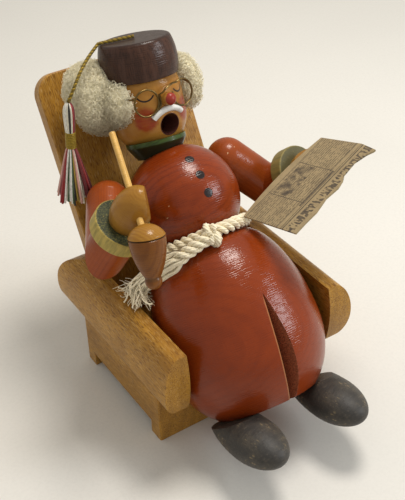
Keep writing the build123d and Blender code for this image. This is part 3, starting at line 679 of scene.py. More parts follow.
def laid_rope(line, first_side, sizes, number_of_marks, loosen=None):
    """Runs of the yarns of a laid rope; loosen(share) gives how far its strands have opened there."""
    marks = along(line, number_of_marks)
    ways = side_ways([point for point, goal in marks], first_side)
    total = marks[-1][1]
    strand_reach = sizes.rope_radius * STRAND_REACH
    yarn_reach = sizes.rope_radius * YARN_REACH
    runs = []
    for strand in range(STRANDS):
        for yarn in range(YARNS):
            own = Vector((yarn, strand, 0)) * 3.7
            turn = math.tau * strand / STRANDS
            twist = math.tau * yarn / YARNS
            run = []
            last = 0.0
            for (point, goal), (side, up) in zip(marks, ways):
                opened = loosen(goal / total) if loosen else 0.0
                advance = math.tau * (goal - last) / sizes.rope_lay * (1 - opened)
                turn += advance
                twist -= advance / YARN_LAY
                last = goal
                a = strand_reach * math.cos(turn) + yarn_reach * math.cos(twist)
                b = strand_reach * math.sin(turn) + yarn_reach * math.sin(twist)
                flat = side * (a * (1 - OPEN_FLATTER * opened))
                wide = up * (b * (1 + OPEN_WIDER * opened))
                sway = noise.noise_vector(point * SWAYS_PER_METRE + own) * (YARN_SWAY * MM)
                run.append(point + flat + wide + sway)
            runs.append((run, 0, None))
    return runs


def scattered(luck, spans):
    """A random vector with one span for each coordinate."""
    return Vector([luck.uniform(low, high) for low, high in spans])


class SMOKER_OT_chair(bpy.types.Operator):
    """Lacquers the seat, armrests, backrest and pins"""

    bl_idname = "smoker.chair"
    bl_label = "Chair"

    def execute(self, context):
        paint = palette(context)
        lengthwise = place((0, 0, 30), (-90, 0, 0))
        beech("chair_seat_beech", place((0, 20, 0), (-90, 0, 12)), paint).wear("seat_block")
        beech("chair_armrest_beech_right", lengthwise @ place((-39, 0, 0)), paint).wear("armrest_right")
        beech("chair_armrest_beech_left", lengthwise @ place((39, 3, 0)), paint).wear("armrest_left")
        beech("chair_backrest_beech", BACKREST, paint).wear("backrest")
        pins = beech("pin_beech", place((0, 0, 0)), paint, dark_share=0.5)
        for node in ("armrest_dowels", "backrest_dowels", "robe_dowels", "shoe_dowels", "cap_dowel",
                     "shoulder_dowels", "elbow_dowels"):
            pins.wear(node)
        return {"FINISHED"}


class SMOKER_OT_robe(bpy.types.Operator):
    """Lacquers the robe, the torso with its painted buttons and the arms"""

    bl_idname = "smoker.robe"
    bl_label = "Robe, torso and arms"

    def execute(self, context):
        paint = palette(context)
        gap = context.scene.smoker_sizes.ring_gap / MM
        self.robe(paint, gap)
        self.torso(paint, gap)
        self.arms(paint, gap)
        return {"FINISHED"}

    def robe(self, paint, gap):
        """The lower egg with its front cut."""
        robe, tone = turned_wood("red_robe", BODY, paint.robe, paint.robe_dark, gap, gloss=0.3, contrast=0.3,
                                 coat=0.42)
        robe.colour(self.cut_edge(robe, self.nicked(robe, tone)))
        robe.wear("robe")

    def torso(self, paint, gap):
        """The upper ball with its three buttons."""
        grain = BODY @ place((0, 0, 0), (0, 0, 40))
        torso, tone = turned_wood("red_torso", grain, paint.robe, paint.robe_dark, gap, gloss=0.3,
                                  contrast=0.8, coat=0.42)
        tone = self.nicked(torso, tone)
        raised = 0.0
        for angle in BUTTON_ANGLES:
            turn = math.radians(angle)
            middle = spot(BODY, 0, -TORSO_RADIUS * math.sin(turn), TORSO_RADIUS * math.cos(turn))
            button = torso.step(torso.ragged(torso.away(middle), 0.3, 1.1), *BUTTON_EDGE)
            tone = torso.blend(button, tone, paint.ink)
            raised = torso.math("ADD", raised, button)
        torso.colour(tone)
        torso.bump(raised, 0.12)
        torso.wear("torso")

    def arms(self, paint, gap):
        """The four sticks, each with a grain of its own."""
        sticks = (("upper_arm_right", RIGHT_ELBOW, RIGHT_UPPER), ("forearm_right", RIGHT_ELBOW, RIGHT_FORE),
                  ("upper_arm_left", LEFT_ELBOW, LEFT_UPPER), ("forearm_left", LEFT_ELBOW, LEFT_FORE))
        for node, elbow, way in sticks:
            grain = facing(Vector(elbow) * MM, way, (0.3, 0.5, 0.8))
            stick, tone = turned_wood("red_" + node, grain, paint.arms, paint.arms_dark, gap * 0.8,
                                      gloss=0.34, contrast=0.55)
            stick.colour(self.nicked(stick, tone))
            stick.wear(node)

    def cut_edge(self, finish, tone):
        """Lightens the rubbed edge of the front cut and darkens the raw wall across from it."""
        start = Vector(CUT_START)
        run = (Vector(CUT_END) - start).normalized()
        outward = Vector((0, run.z, -run.y))
        turn = Matrix((outward, run.cross(outward), run)).transposed().to_4x4()
        out, side, drop = finish.axes(BODY @ Matrix.Translation(start * MM) @ turn)
        lean = finish.product(out, math.tan(math.radians(CUT_HALF_ANGLE)))
        above = finish.step(out, 0.02, 0.3)
        near = finish.math("SUBTRACT", side, lean)
        outer = finish.step(finish.ragged(near, 0.3, 1.5), 0.75, 0.5)
        edge = finish.product(finish.step(near, -0.12, 0.02), outer, finish.step(drop, 0.0, 4.0), above, 0.75)
        tone = finish.blend(edge, tone, RUBBED_EDGE)
        far = finish.math("ABSOLUTE", finish.math("ADD", side, lean))
        wall = finish.product(finish.step(far, 0.08, 0.02), finish.step(drop, 0.0, 3.0), above)
        raw = finish.stain(RAW_DARK, RAW_LIGHT, finish.noise(0.5, 3.0, 0.6), 0.3, 0.7)
        return finish.blend(wall, tone, raw)

    def nicked(self, finish, tone):
        """Adds the few pale nicks in the lacquer."""
        spots = finish.step(finish.noise(1.3, 1.0), 0.775, 0.8)
        sparse = finish.step(finish.noise(11.0, 0.0), 0.6, 0.66)
        return finish.blend(finish.product(spots, sparse), tone, NICK)


class SMOKER_OT_shoes(bpy.types.Operator):
    """Paints the shoes with their scuffs, and the tin plate in the robe"""

    bl_idname = "smoker.shoes"
    bl_label = "Shoes and burner plate"

    def execute(self, context):
        paint = palette(context)
        for node, x in (("shoe_right", -19.2), ("shoe_left", 19.2)):
            self.shoe(node, place((x, -35.1, 18.9), (-13, 0, 9)), paint)
        self.plate()
        return {"FINISHED"}

    def shoe(self, node, where, paint):
        """Brushed paint with worn places, scratches and chips."""
        finish = Finish(node + "_paint", Coat_Weight=0.1, Coat_Roughness=0.35, Specular_IOR_Level=0.4)
        streak = finish.noise(0.8, 4.0, 0.65, where, (7, 1, 1))
        cloud = finish.noise(9.0, 4.0, 0.6, where)
        scratch = finish.noise(0.5, 2.0, 0.5, where, (1, 6, 2))
        specks = finish.noise(0.7, 3.0, 0.7, where, (1, 2, 1))
        tone = finish.stain(paint.shoe, paint.shoe_worn, cloud, 0.35, 0.75, 0.4)
        tone = finish.stain(tone, paint.shoe_worn, streak, 0.55, 0.75, 0.45)
        tone = finish.stain(tone, SHOE_BLACK, streak, 0.5, 0.25, 0.6)
        chips = finish.product(finish.step(scratch, 0.6, 0.66), finish.step(cloud, 0.46, 0.6), 0.7)
        tone = finish.blend(chips, tone, SHOE_CHIP)
        finish.colour(finish.stain(tone, SHOE_BLACK, specks, 0.55, 0.75, 0.6))
        finish.bump(streak, 0.12)
        finish.bump(specks, 0.12)
        finish.rough(cloud, 0.45, 0.65)
        finish.wear(node)

    def plate(self):
        """Sooty tin under the cone."""
        tin = Finish("burner_tin", Metallic=1.0)
        soot = tin.noise(2.5, 4.0, 0.6)
        tin.colour(tin.stain(TIN, SOOT, soot, 0.4, 0.7))
        tin.rough(soot, 0.3, 0.6)
        tin.wear("burner_plate")


class SMOKER_OT_face(bpy.types.Operator):
    """Paints the head, the nose, the moustache and the collar"""

    bl_idname = "smoker.face"
    bl_label = "Face and collar"

    def execute(self, context):
        paint = palette(context)
        self.head(paint)
        self.nose(paint)
        self.moustache(paint)
        self.collar(paint)
        return {"FINISHED"}

    def head(self, paint):
        """Pale wood with painted cheeks, closed eyes and mouth."""
        head, tone = turned_wood("face_wood", HEAD, paint.face, paint.face_dark, 2.4, gloss=0.34,
                                 contrast=0.8, lathe=0.5)
        for side in (-1, 1):
            longitude, height = CHEEK
            reach = head.ragged(head.away(on_face(side * longitude, height)), 1.6, 1.6, 3.0)
            streak = head.step(head.noise(1.2, 3.0, 0.5, HEAD, (4, 4, 1)), 0.2, 0.7)
            mask = head.product(head.step(reach, 6.6, 4.4), head.scaled(streak, 0.35, 0.62))
            tone = head.blend(mask, tone, paint.cheek)
        for side in (-1, 1):
            longitude, height = EYE
            across, up, out = head.axes(face_frame(side * longitude, height))
            ring = head.span(across, head.math("SUBTRACT", up, EYE_ARC_RISE))
            line = head.step(head.from_line(ring, EYE_ARC_RADIUS), 0.42, 0.22)
            lower = head.step(up, 0.9, 0.5)
            near = head.step(head.math("ABSOLUTE", out), 4.5, 4.0)
            tone = head.blend(head.product(line, lower, near), tone, paint.ink)
        across, up, out = head.axes(face_frame(0, MOUTH_HEIGHT))
        front = head.step(out, -13.0, -12.0)
        inside = head.product(head.step(head.span(across, up), *MOUTH_EDGE), front)
        head.colour(head.blend(inside, tone, paint.lips))
        head.wear("head")

    def nose(self, paint):
        """A pale peg with a red end."""
        peg = face_frame(0, NOSE_HEIGHT)
        nose, tone = turned_wood("nose_wood", peg, paint.face, paint.face_dark, 1.6, gloss=0.36, contrast=0.8)
        out = nose.axes(peg)[2]
        nose.colour(nose.stain(tone, paint.nose_tip, nose.ragged(out, 0.8, 0.8), 3.7, 4.1))
        nose.wear("nose")

    def moustache(self, paint):
        """Brushed white paint."""
        white = Finish("moustache_paint", Specular_IOR_Level=0.4)
        brushed = white.noise(0.5, 3.0, 0.6, HEAD, (5, 5, 1))
        white.colour(white.stain(paint.moustache, BRUSH_GREY, brushed, 0.5, 0.75, 0.5))
        white.bump(brushed, 0.08)
        white.rough(brushed, 0.45, 0.7)
        white.wear("moustache")

    def collar(self, paint):
        """Worn green paint, with painted shade that makes it nearly black at the lower edge."""
        green = Finish("collar_paint", Coat_Weight=0.3, Coat_Roughness=0.15, Specular_IOR_Level=0.2)
        brushed = green.noise(1.0, 3.0, 0.6, BODY, (5, 5, 1))
        tone = green.stain(paint.collar, darkened(paint.collar, 0.45), brushed, 0.35, 0.7)
        tone = green.stain(tone, COLLAR_WORN, green.noise(1.4, 4.0, 0.7), 0.7, 0.74, 0.6)
        rise = green.axes(COLLAR)[2]
        # Painted shade: the collar darkens nearly to black towards its lower edge
        green.colour(green.stain(tone, COLLAR_PAINTED_SHADE, rise, 0.3, -1.8, 0.92))
        green.bump(brushed, 0.04)
        green.rough(brushed, 0.28, 0.45)
        green.wear("collar")


class SMOKER_OT_glasses(bpy.types.Operator):
    """Bends the wire glasses"""

    bl_idname = "smoker.glasses"
    bl_label = "Glasses"

    def execute(self, context):
        brass = self.brass(palette(context))
        right, left = (self.lens(side) for side in (-1, 1))
        wire = [self.on_ring(right, angle) for angle in range(-55, 306, 10)]
        for angle in range(315, 381, 8):
            wire.append(self.on_ring(right, angle, 0.9 * min(1.0, (angle - 305) / 30)))
        wire += [on_face(*knob) for knob in BRIDGE]
        wire += [self.on_ring(left, angle) for angle in range(118, -206, -9)]
        runs = [(wire, 0, None)]
        for side, lens in ((-1, right), (1, left)):
            outer = self.on_ring(lens, 90 - side * 62)
            runs.append(([outer, on_face(side * 76, LENS_HEIGHT + 2.6, LENS_LIFT)], 0, None))
        piece = tubes("wire_glasses", runs, context.scene.smoker_sizes.wire_radius, [brass], 2)
        keep(piece, "torso", "brass_wire", "glasses")
        return {"FINISHED"}

    def brass(self, paint):
        """Tarnished brass."""
        brass = Finish("brass_wire", Metallic=1.0)
        tarnish = brass.noise(1.2, 4.0, 0.6)
        brass.colour(brass.stain(paint.brass, TARNISH, tarnish, 0.35, 0.7, 0.7))
        brass.rough(tarnish, 0.22, 0.42)
        brass.bump(tarnish, 0.02)
        return brass

    def lens(self, side):
        """The plane of one ring, with X to the viewer's right and Y up."""
        turn = math.radians(side * 8.0)
        spin = HEAD.to_3x3()
        out = spin @ Vector((math.sin(turn), -math.cos(turn), 0))
        across = spin @ Vector((math.cos(turn), math.sin(turn), 0))
        return facing(on_face(side * 30.0 - 0.8, LENS_HEIGHT, LENS_LIFT), out, across)

    def on_ring(self, lens, angle, wider=0.0):
        """A point of a ring, or a bit outside it, at an angle in degrees."""
        return round_z(lens, math.radians(angle), LENS_RADIUS + wider)


class SMOKER_OT_cap(bpy.types.Operator):
    """Stains the cap"""

    bl_idname = "smoker.cap"
    bl_label = "Cap"

    def execute(self, context):
        paint = palette(context)
        dark = paint.cap_dark
        finish, tone = turned_wood("cap_walnut", HEAD, paint.cap, dark, 2.2, gloss=0.44, contrast=1.2)
        grain = finish.noise(0.42, 3.0, 0.65, HEAD, (1, 1, 12))
        tone = finish.stain(tone, dark, grain, 0.45, 0.7, 0.75)
        tone = finish.stain(tone, CAP_RED, finish.noise(3.0, 2.0, 0.5, HEAD, (1, 1, 5)), 0.5, 0.75, 0.4)
        across, front, rise = finish.axes(HEAD @ place((0, 0, 0), (0, 0, 38)))
        tone = finish.stain(tone, dark, rise, 30.2, 31.0, 0.55)
        drift = finish.product(finish.math("SUBTRACT", finish.noise(5.0, 2.0, 0.5, HEAD), 0.5), 3.2)
        beside = finish.math("ABSOLUTE", finish.math("ADD", across, drift))
        crack = finish.product(finish.step(beside, 0.22, 0.05), finish.step(front, -8.0, -9.0),
                               finish.step(rise, 22.5, 24.0))
        finish.colour(finish.blend(crack, tone, CAP_CRACK))
        finish.bump(finish.inverse(crack), 0.15)
        finish.bump(grain, 0.03)
        finish.wear("cap")
        return {"FINISHED"}


class SMOKER_OT_hands(bpy.types.Operator):
    """Finishes the cuffs, the hands, the stem and the pipe's bowl"""

    bl_idname = "smoker.hands"
    bl_label = "Cuffs, hands and pipe"

    def execute(self, context):
        paint = palette(context)
        for side, middle, way in (("right", RIGHT_CUFF, RIGHT_FORE), ("left", LEFT_CUFF, LEFT_FORE)):
            grain = facing(Vector(middle) * MM, way, (0.8, 0.2, 0.1))
            self.cuff(side, grain, paint)
            hand, tone = turned_wood("hand_" + side + "_wood", grain, paint.hand, paint.hand_dark, 2.1,
                                     gloss=0.33, contrast=0.8)
            hand.colour(tone)
            hand.wear("hand_" + side)
        self.stem(paint)
        self.bowl(paint)
        return {"FINISHED"}

    def cuff(self, side, grain, paint):
        """A speckled green face inside an olive band; the left cuff is darkened with painted shade of the
        newspaper.
        """
        cuff = Finish("cuff_" + side + "_paint", Specular_IOR_Level=0.35)
        across, up = cuff.axes(grain)[:2]
        specks = cuff.noise(0.55, 2.0, 0.6)
        brushed = cuff.noise(1.2, 4.0, 0.6, grain, (1, 1, 5))
        # The left cuff gets painted shade: a dark deep tone for its face and a dark blend over all of it
        deep, painted_shade_share = (CUFF_DEEP, 0.0) if side == "right" else (CUFF_PAINTED_SHADE, 0.6)
        face = cuff.stain(deep, paint.cuff, specks, 0.42, 0.68)
        face = cuff.stain(face, paint.cuff_band, cuff.noise(0.8, 2.0), 0.66, 0.7, 0.6)
        band = cuff.stain(paint.cuff_band, paint.cuff, brushed, 0.35, 0.75, 0.6)
        edge = cuff.math("ADD", cuff.span(across, up), cuff.product(specks, 0.5))
        tone = cuff.blend(cuff.step(edge, 11.1, 11.5), face, band)
        cuff.colour(cuff.blend(painted_shade_share, tone, CUFF_PAINTED_SHADE))
        cuff.bump(specks, 0.06)
        cuff.rough(brushed, 0.45, 0.65)
        cuff.wear("cuff_" + side)

    def stem(self, paint):
        """The pale stick from the bowl up past the hand."""
        meeting = (Vector(BOWL) - Vector(BOWL_WAY).normalized() * STEM_BELOW_LID) * MM
        grain = facing(meeting, Vector(STEM_TOP) * MM - meeting, (1, 0, 0))
        stem, tone = turned_wood("stem_wood", grain, paint.stem, paint.hand_dark, 1.1, gloss=0.4,
                                 contrast=0.7)
        stem.colour(tone)
        stem.wear("pipe_stem")

    def bowl(self, paint):
        """The stained bowl with its pale lid, a scored line under it and a dark neck."""
        where = facing(Vector(BOWL) * MM, BOWL_WAY, (1, 0, 0))
        bowl, tone = turned_wood("bowl_wood", where, paint.bowl, paint.bowl_dark, 1.5, gloss=0.34)
        rise = bowl.axes(where)[2]
        rings = bowl.rings(1.0, 2.0, where @ place((9, 2, 0)), (1, 1, 5))
        lid = bowl.blend(bowl.product(rings, 0.35), paint.hand, paint.bowl)
        tone = bowl.blend(bowl.step(rise, -0.2, 0.1), tone, lid)
        tone = bowl.stain(tone, BOWL_SCORE, bowl.from_line(rise, -0.35), 0.4, 0.1)
        bowl.colour(bowl.stain(tone, BOWL_NECK, bowl.from_line(rise, -15.6), 1.2, 0.3, 0.4))
        bowl.wear("pipe_bowl")


class SMOKER_OT_newspaper(bpy.types.Operator):
    """Prints the newspaper with plain bars in place of words"""

    bl_idname = "smoker.newspaper"
    bl_label = "Newspaper"

    def execute(self, context):
        paint = palette(context)
        sheet = facing(Vector(PAPER) * MM, PAPER_OUT, PAPER_ALONG)
        paper = Finish("newsprint", Specular_IOR_Level=0.25)
        across, down = paper.axes(sheet)[:2]
        fibre = paper.noise(0.5, 4.0, 0.65, sheet, (3, 1, 1))
        tone = paper.stain(paint.paper, PAPER_FIBRE, fibre, 0.4, 0.7, 0.35)
        tone = paper.stain(tone, PAPER_STAIN, paper.noise(7.0, 3.0, 0.5, sheet), 0.4, 0.7, 0.25)
        ink = paper.union(self.heading(paper, sheet, down), self.rules(paper, across, down),
                          self.columns(paper, sheet, down), self.picture(paper, sheet, across, down))
        fade = paper.scaled(paper.noise(1.2, 3.0, 0.5, sheet), 0.7, 0.42)
        paper.colour(paper.blend(paper.product(ink, fade), tone, paint.print_ink))
        paper.bump(fibre, 0.05)
        paper.rough(fibre, 0.75, 0.95)
        paper.wear("newspaper")
        return {"FINISHED"}

    def window(self, paper, value, low, high):
        """1 where a value lies between two limits."""
        over = paper.math("GREATER_THAN", value, low)
        under = paper.math("LESS_THAN", value, high)
        return paper.product(over, under)

    def heading(self, paper, sheet, down):
        """A row of heavy smudged strokes where a title would stand."""
        row = self.window(paper, down, -13.0, -8.9)
        strokes = paper.noise(1.0, 0.5, 0.5, sheet, (0.75, 2.1, 1))
        return paper.product(row, paper.step(strokes, 0.47, 0.52))

    def rules(self, paper, across, down):
        """The ruled lines under the title and between the columns."""
        lines = [self.window(paper, down, -7.7, -7.15)]
        for low in (-6.6, -4.5, 13.4):
            lines.append(self.window(paper, down, low, low + 0.3))
        inner = self.window(paper, down, -4.9, 13.4)
        for low in (-10.2, 8.8):
            lines.append(paper.product(inner, self.window(paper, across, low, low + 0.35)))
        bar = self.window(paper, down, -6.1, -4.9)
        lines.append(paper.product(bar, self.window(paper, across, -12.0, 9.0)))
        return paper.union(*lines)

    def columns(self, paper, sheet, down):
        """Lines that are broken like words."""
        inner = self.window(paper, down, -4.3, 13.0)
        line = paper.math("FRACT", paper.math("DIVIDE", paper.math("ADD", down, 40.0), 1.05))
        dashes = paper.noise(0.55, 1.0, 0.5, sheet, (2.2, 0.9, 1))
        return paper.product(inner, self.window(paper, line, 0.15, 0.62), paper.step(dashes, 0.42, 0.5), 0.8)

    def picture(self, paper, sheet, across, down):
        """A printed grey field with soft blotches."""
        field = paper.product(self.window(paper, down, 3.5, 12.2), self.window(paper, across, -9.3, 8.2))
        blots = paper.noise(3.4, 3.0, 0.6, sheet)
        return paper.product(field, paper.step(blots, 0.4, 0.62))


class SMOKER_OT_belt(bpy.types.Operator):
    """Lays the rope belt with its knot and its frayed tail"""

    bl_idname = "smoker.belt"
    bl_label = "Rope belt"

    def execute(self, context):
        sizes = context.scene.smoker_sizes
        cotton = self.cotton(palette(context))
        noise.seed_set(SWAY_SEED)
        ring = []
        for number in range(361):
            angle = BELT_GAP / 2 + (360 - BELT_GAP) * number / 360
            ring.append(round_z(BODY, math.radians(angle - 90 - KNOT_ANGLE), BELT_RING, -BELT_DROP))
        runs = laid_rope(ring, BODY.to_3x3() @ Vector((0, 0, 1)), sizes, 420)
        rope = tubes("rope_belt", runs, sizes.yarn_radius, [cotton])
        keep(rope, "chair", "cotton_rope", "belt_rope")
        self.tie_knot(sizes, cotton)
        self.lay_tail(sizes, cotton)
        return {"FINISHED"}

    def cotton(self, paint):
        """Cream cotton with fibres and painted shade in its hollows."""
        finish = Finish("cotton_yarn", Sheen_Weight=0.25, Sheen_Roughness=0.5, Specular_IOR_Level=0.25)
        fibre = finish.noise(0.35, 4.0, 0.65)
        # Painted shade in the hollows, laid by noise
        tone = finish.stain(paint.cotton, COTTON_HOLLOW_PAINTED_SHADE, fibre, 0.45, 0.7, 0.35)
        finish.colour(finish.stain(tone, COTTON_SOIL, finish.noise(4.0, 3.0), 0.45, 0.7, 0.3))
        finish.bump(fibre, 0.12)
        finish.rough(fibre, 0.7, 0.95)
        return finish

    def tie_knot(self, sizes, cotton):
        """One turn of the rope over the belt."""
        centre = Vector(KNOT) * MM
        spin = BODY.to_3x3()
        turn = math.radians(-90 - KNOT_ANGLE)
        along_belt = spin @ Vector((-math.sin(turn), math.cos(turn), 0))
        lean = (along_belt + spin @ Vector((0, 0, 0.55))).normalized()
        out = spin @ Vector((math.cos(turn), math.sin(turn), 0.1))
        side = (out - lean * out.dot(lean)).normalized()
        up = lean.cross(side)
        loop = []
        for number in range(61):
            share = number / 60
            angle = math.tau * share
            rise = lean * (KNOT_RISE * MM * (share - 0.5))
            loop.append(centre + (side * math.cos(angle) + up * math.sin(angle)) * (KNOT_RADIUS * MM) + rise)
        runs = laid_rope(loop, lean, sizes, 120)
        knot = tubes("rope_knot", runs, sizes.yarn_radius, [cotton])
        keep(knot, "chair", "cotton_rope", "belt_knot")

    def lay_tail(self, sizes, cotton):
        """The rope's end beyond the knot, laid at first, then open and frayed."""
        line = smooth_route(TAIL_ROUTE)
        first_side = BODY.to_3x3() @ Vector((0, -1, 0.2))
        runs = laid_rope(line, first_side, sizes, 150, self.opened)
        tail = tubes("rope_tail", runs, sizes.yarn_radius, [cotton])
        keep(tail, "chair", "cotton_rope", "belt_tail")
        fray = self.fray(runs, cotton)

    def opened(self, share):
        """How far the tail's strands have opened at a share of its length."""
        return min(1.0, max(0.0, (share - TAIL_OPENS) / TAIL_OPENING))

    def fray(self, runs, cotton):
        """Fine fibres that curl out of the ends of the tail's yarns."""
        luck = random.Random(7)
        fibres = []
        for run, number, radii in runs:
            way = (run[-1] - run[-8]).normalized()
            for fibre in range(FRAY_FIBRES):
                tip = scattered(luck, FRAY_TIPS) * MM
                curl = scattered(luck, FRAY_CURL) * 0.0017
                other = scattered(luck, FRAY_OTHER) * 0.0014
                turns = luck.uniform(3.0, 9.0)
                thick = 1.5 if fibre == 0 else 0.55
                points = []
                thicknesses = []
                for step in range(FRAY_STEPS + 1):
                    share = step / FRAY_STEPS
                    ahead = run[-1] + way * (0.007 * share)
                    wave = (curl * math.sin(turns * share) + other * (1 - math.cos(turns * share))) * share
                    points.append(ahead.lerp(tip, share ** 1.5) + wave)
                    thicknesses.append(thick * (1 - 0.3 * share))
                fibres.append((points, 0, thicknesses))
        return keep(tubes("rope_fray", fibres, FRAY_RADIUS * MM, [cotton], 0), "chair", "cotton_rope")


class SMOKER_OT_hair(bpy.types.Operator):
    """Makes the wool tuft"""

    bl_idname = "smoker.hair"
    bl_label = "Wool hair"

    def execute(self, context):
        wool = self.wool(palette(context))
        core = self.core(wool)
        keep(core, "torso", "wool", "hair")
        self.curls(core, context.scene.smoker_sizes, wool)
        return {"FINISHED"}

    def wool(self, paint):
        """Cream wool with painted shade in its hollows and low on the figure's right."""
        finish = Finish("cream_wool", Sheen_Weight=0.4, Sheen_Roughness=0.6, Specular_IOR_Level=0.15)
        fine = finish.noise(0.6, 5.0, 0.7)
        # Painted shade in the hollows, laid by noise
        tone = finish.stain(paint.wool, WOOL_HOLLOW_PAINTED_SHADE, fine, 0.45, 0.75, 0.35)
        tone = finish.stain(tone, WOOL_TUFT, finish.noise(5.0, 3.0), 0.4, 0.7, 0.25)
        across, front, rise = finish.axes(HEAD)
        # Painted shade: the tuft is darkened low down on the figure's right
        low = finish.product(finish.step(rise, 9.0, -3.0), finish.step(across, 4.0, -6.0), 0.85)
        finish.colour(finish.blend(low, tone, WOOL_LOW_PAINTED_SHADE))
        finish.bump(fine, 0.3)
        finish.rough(fine, 0.8, 1.0)
        return finish

    def core(self, wool):
        """The tuft's lumpy body, grown from a few balls and pressed flat towards the backrest."""
        grown = self.grown()
        shape = bmesh.new()
        shape.from_mesh(grown)
        shape.normal_update()
        for vert in shape.verts:
            lump = noise.fractal(vert.co * 160, 1.0, 2.0, 3)
            fine = noise.noise(vert.co * 700)
            vert.co += vert.normal * ((LUMP * lump + LINT * fine - SINK) * MM)
            vert.co = self.pressed(vert.co, WOOL_OFF_BOARD)
        shape.to_mesh(grown)
        shape.free()
        grown.materials.clear()
        grown.materials.append(wool.material)
        return link("wool_tuft", grown)

    def grown(self):
        """The balls as one evenly meshed skin."""
        shape = bmesh.new()
        for middle, reach in WOOL:
            size = Matrix.Diagonal((*(Vector(reach) * MM), 1.0))
            where = HEAD @ Matrix.Translation(Vector(middle) * MM) @ size
            bmesh.ops.create_icosphere(shape, subdivisions=4, radius=1.0, matrix=where)
        mesh = stored(shape, "wool_source")
        source = link("wool_source", mesh)
        remesh = source.modifiers.new("even", "REMESH")
        remesh.mode = "VOXEL"
        remesh.voxel_size = WOOL_VOXEL * MM
        smooth = source.modifiers.new("soften", "SMOOTH")
        smooth.factor = 0.5
        smooth.iterations = 5
        bpy.context.view_layer.update()
        evaluated = source.evaluated_get(bpy.context.evaluated_depsgraph_get())
        grown = bpy.data.meshes.new_from_object(evaluated)
        bpy.data.objects.remove(source)
        bpy.data.meshes.remove(mesh)
        grown.name = "wool_tuft"
        return grown

    def curls(self, core, sizes, wool):
        """Small loose curls that stand out of the tuft."""
        luck = random.Random(21)
        faces = [face for face in core.data.polygons if self.shows(face)]
        weights = [face.area for face in faces]
        runs = {"wool_curls_right": [], "wool_curls_temple": [], "wool_curls_back": [], "wool_curls_left": []}
        for face in luck.choices(faces, weights, k=sizes.curls):
            runs[self.group(face)].append((self.curl(luck, face), 0, None))
        for name, curls in runs.items():
            keep(tubes(name, curls, sizes.curl_radius, [wool], 0, False), "torso", "wool")

    def curl(self, luck, face):
        """The points of one curl on a face of the tuft."""
        out = face.normal.copy()
        lean = Vector((luck.gauss(0, 1), luck.gauss(0, 1), luck.gauss(0, 1)))
        lean = (lean - out * lean.dot(out)).normalized()
        other = out.cross(lean)
        bend = luck.uniform(0.0003, 0.0008)
        turns = luck.uniform(0.7, 1.8)
        phase = luck.uniform(*ANY_PHASE)
        reach = luck.uniform(0.0004, 0.0024)
        drift = luck.uniform(0.0002, 0.0022)
        run = []
        for step in range(CURL_STEPS + 1):
            share = step / CURL_STEPS
            angle = phase + turns * math.tau * share
            sway = (lean * math.cos(angle) + other * math.sin(angle)) * bend * min(1.0, 2.5 * share)
            rise = out * (reach * math.sin(2.2 * share) - 0.0002)
            point = face.center + rise + sway + lean * (drift * share)
            run.append(self.pressed(point, CURLS_OFF_BOARD))
        return run

    def group(self, face):
        """The name of the piece that a face's curls belong to."""
        middle = HEAD.inverted() @ face.center / MM
        if abs(middle.x) <= 10.0 or middle.y > 13.0:
            return "wool_curls_back"
        if middle.x > 10.0:
            return "wool_curls_left"
        return "wool_curls_temple" if middle.z < 8.0 else "wool_curls_right"

    def pressed(self, point, room):
        """Keeps a point of the wool off the backrest, with room for the lift."""
        board = BACKREST.to_3x3() @ Vector((0, 1, 0))
        close = (point - BACKREST.translation).dot(board) + room * MM
        return point - board * close if close > 0 else point

    def shows(self, face):
        """Leaves out what lies inside the head and the cap."""
        middle = HEAD.inverted() @ face.center / MM
        reach = Vector((middle.x, middle.y)).length
        return reach > (15.6 if middle.z > HEAD_TOP_RISE else face_girth(max(middle.z, -14.0)) + 0.4)


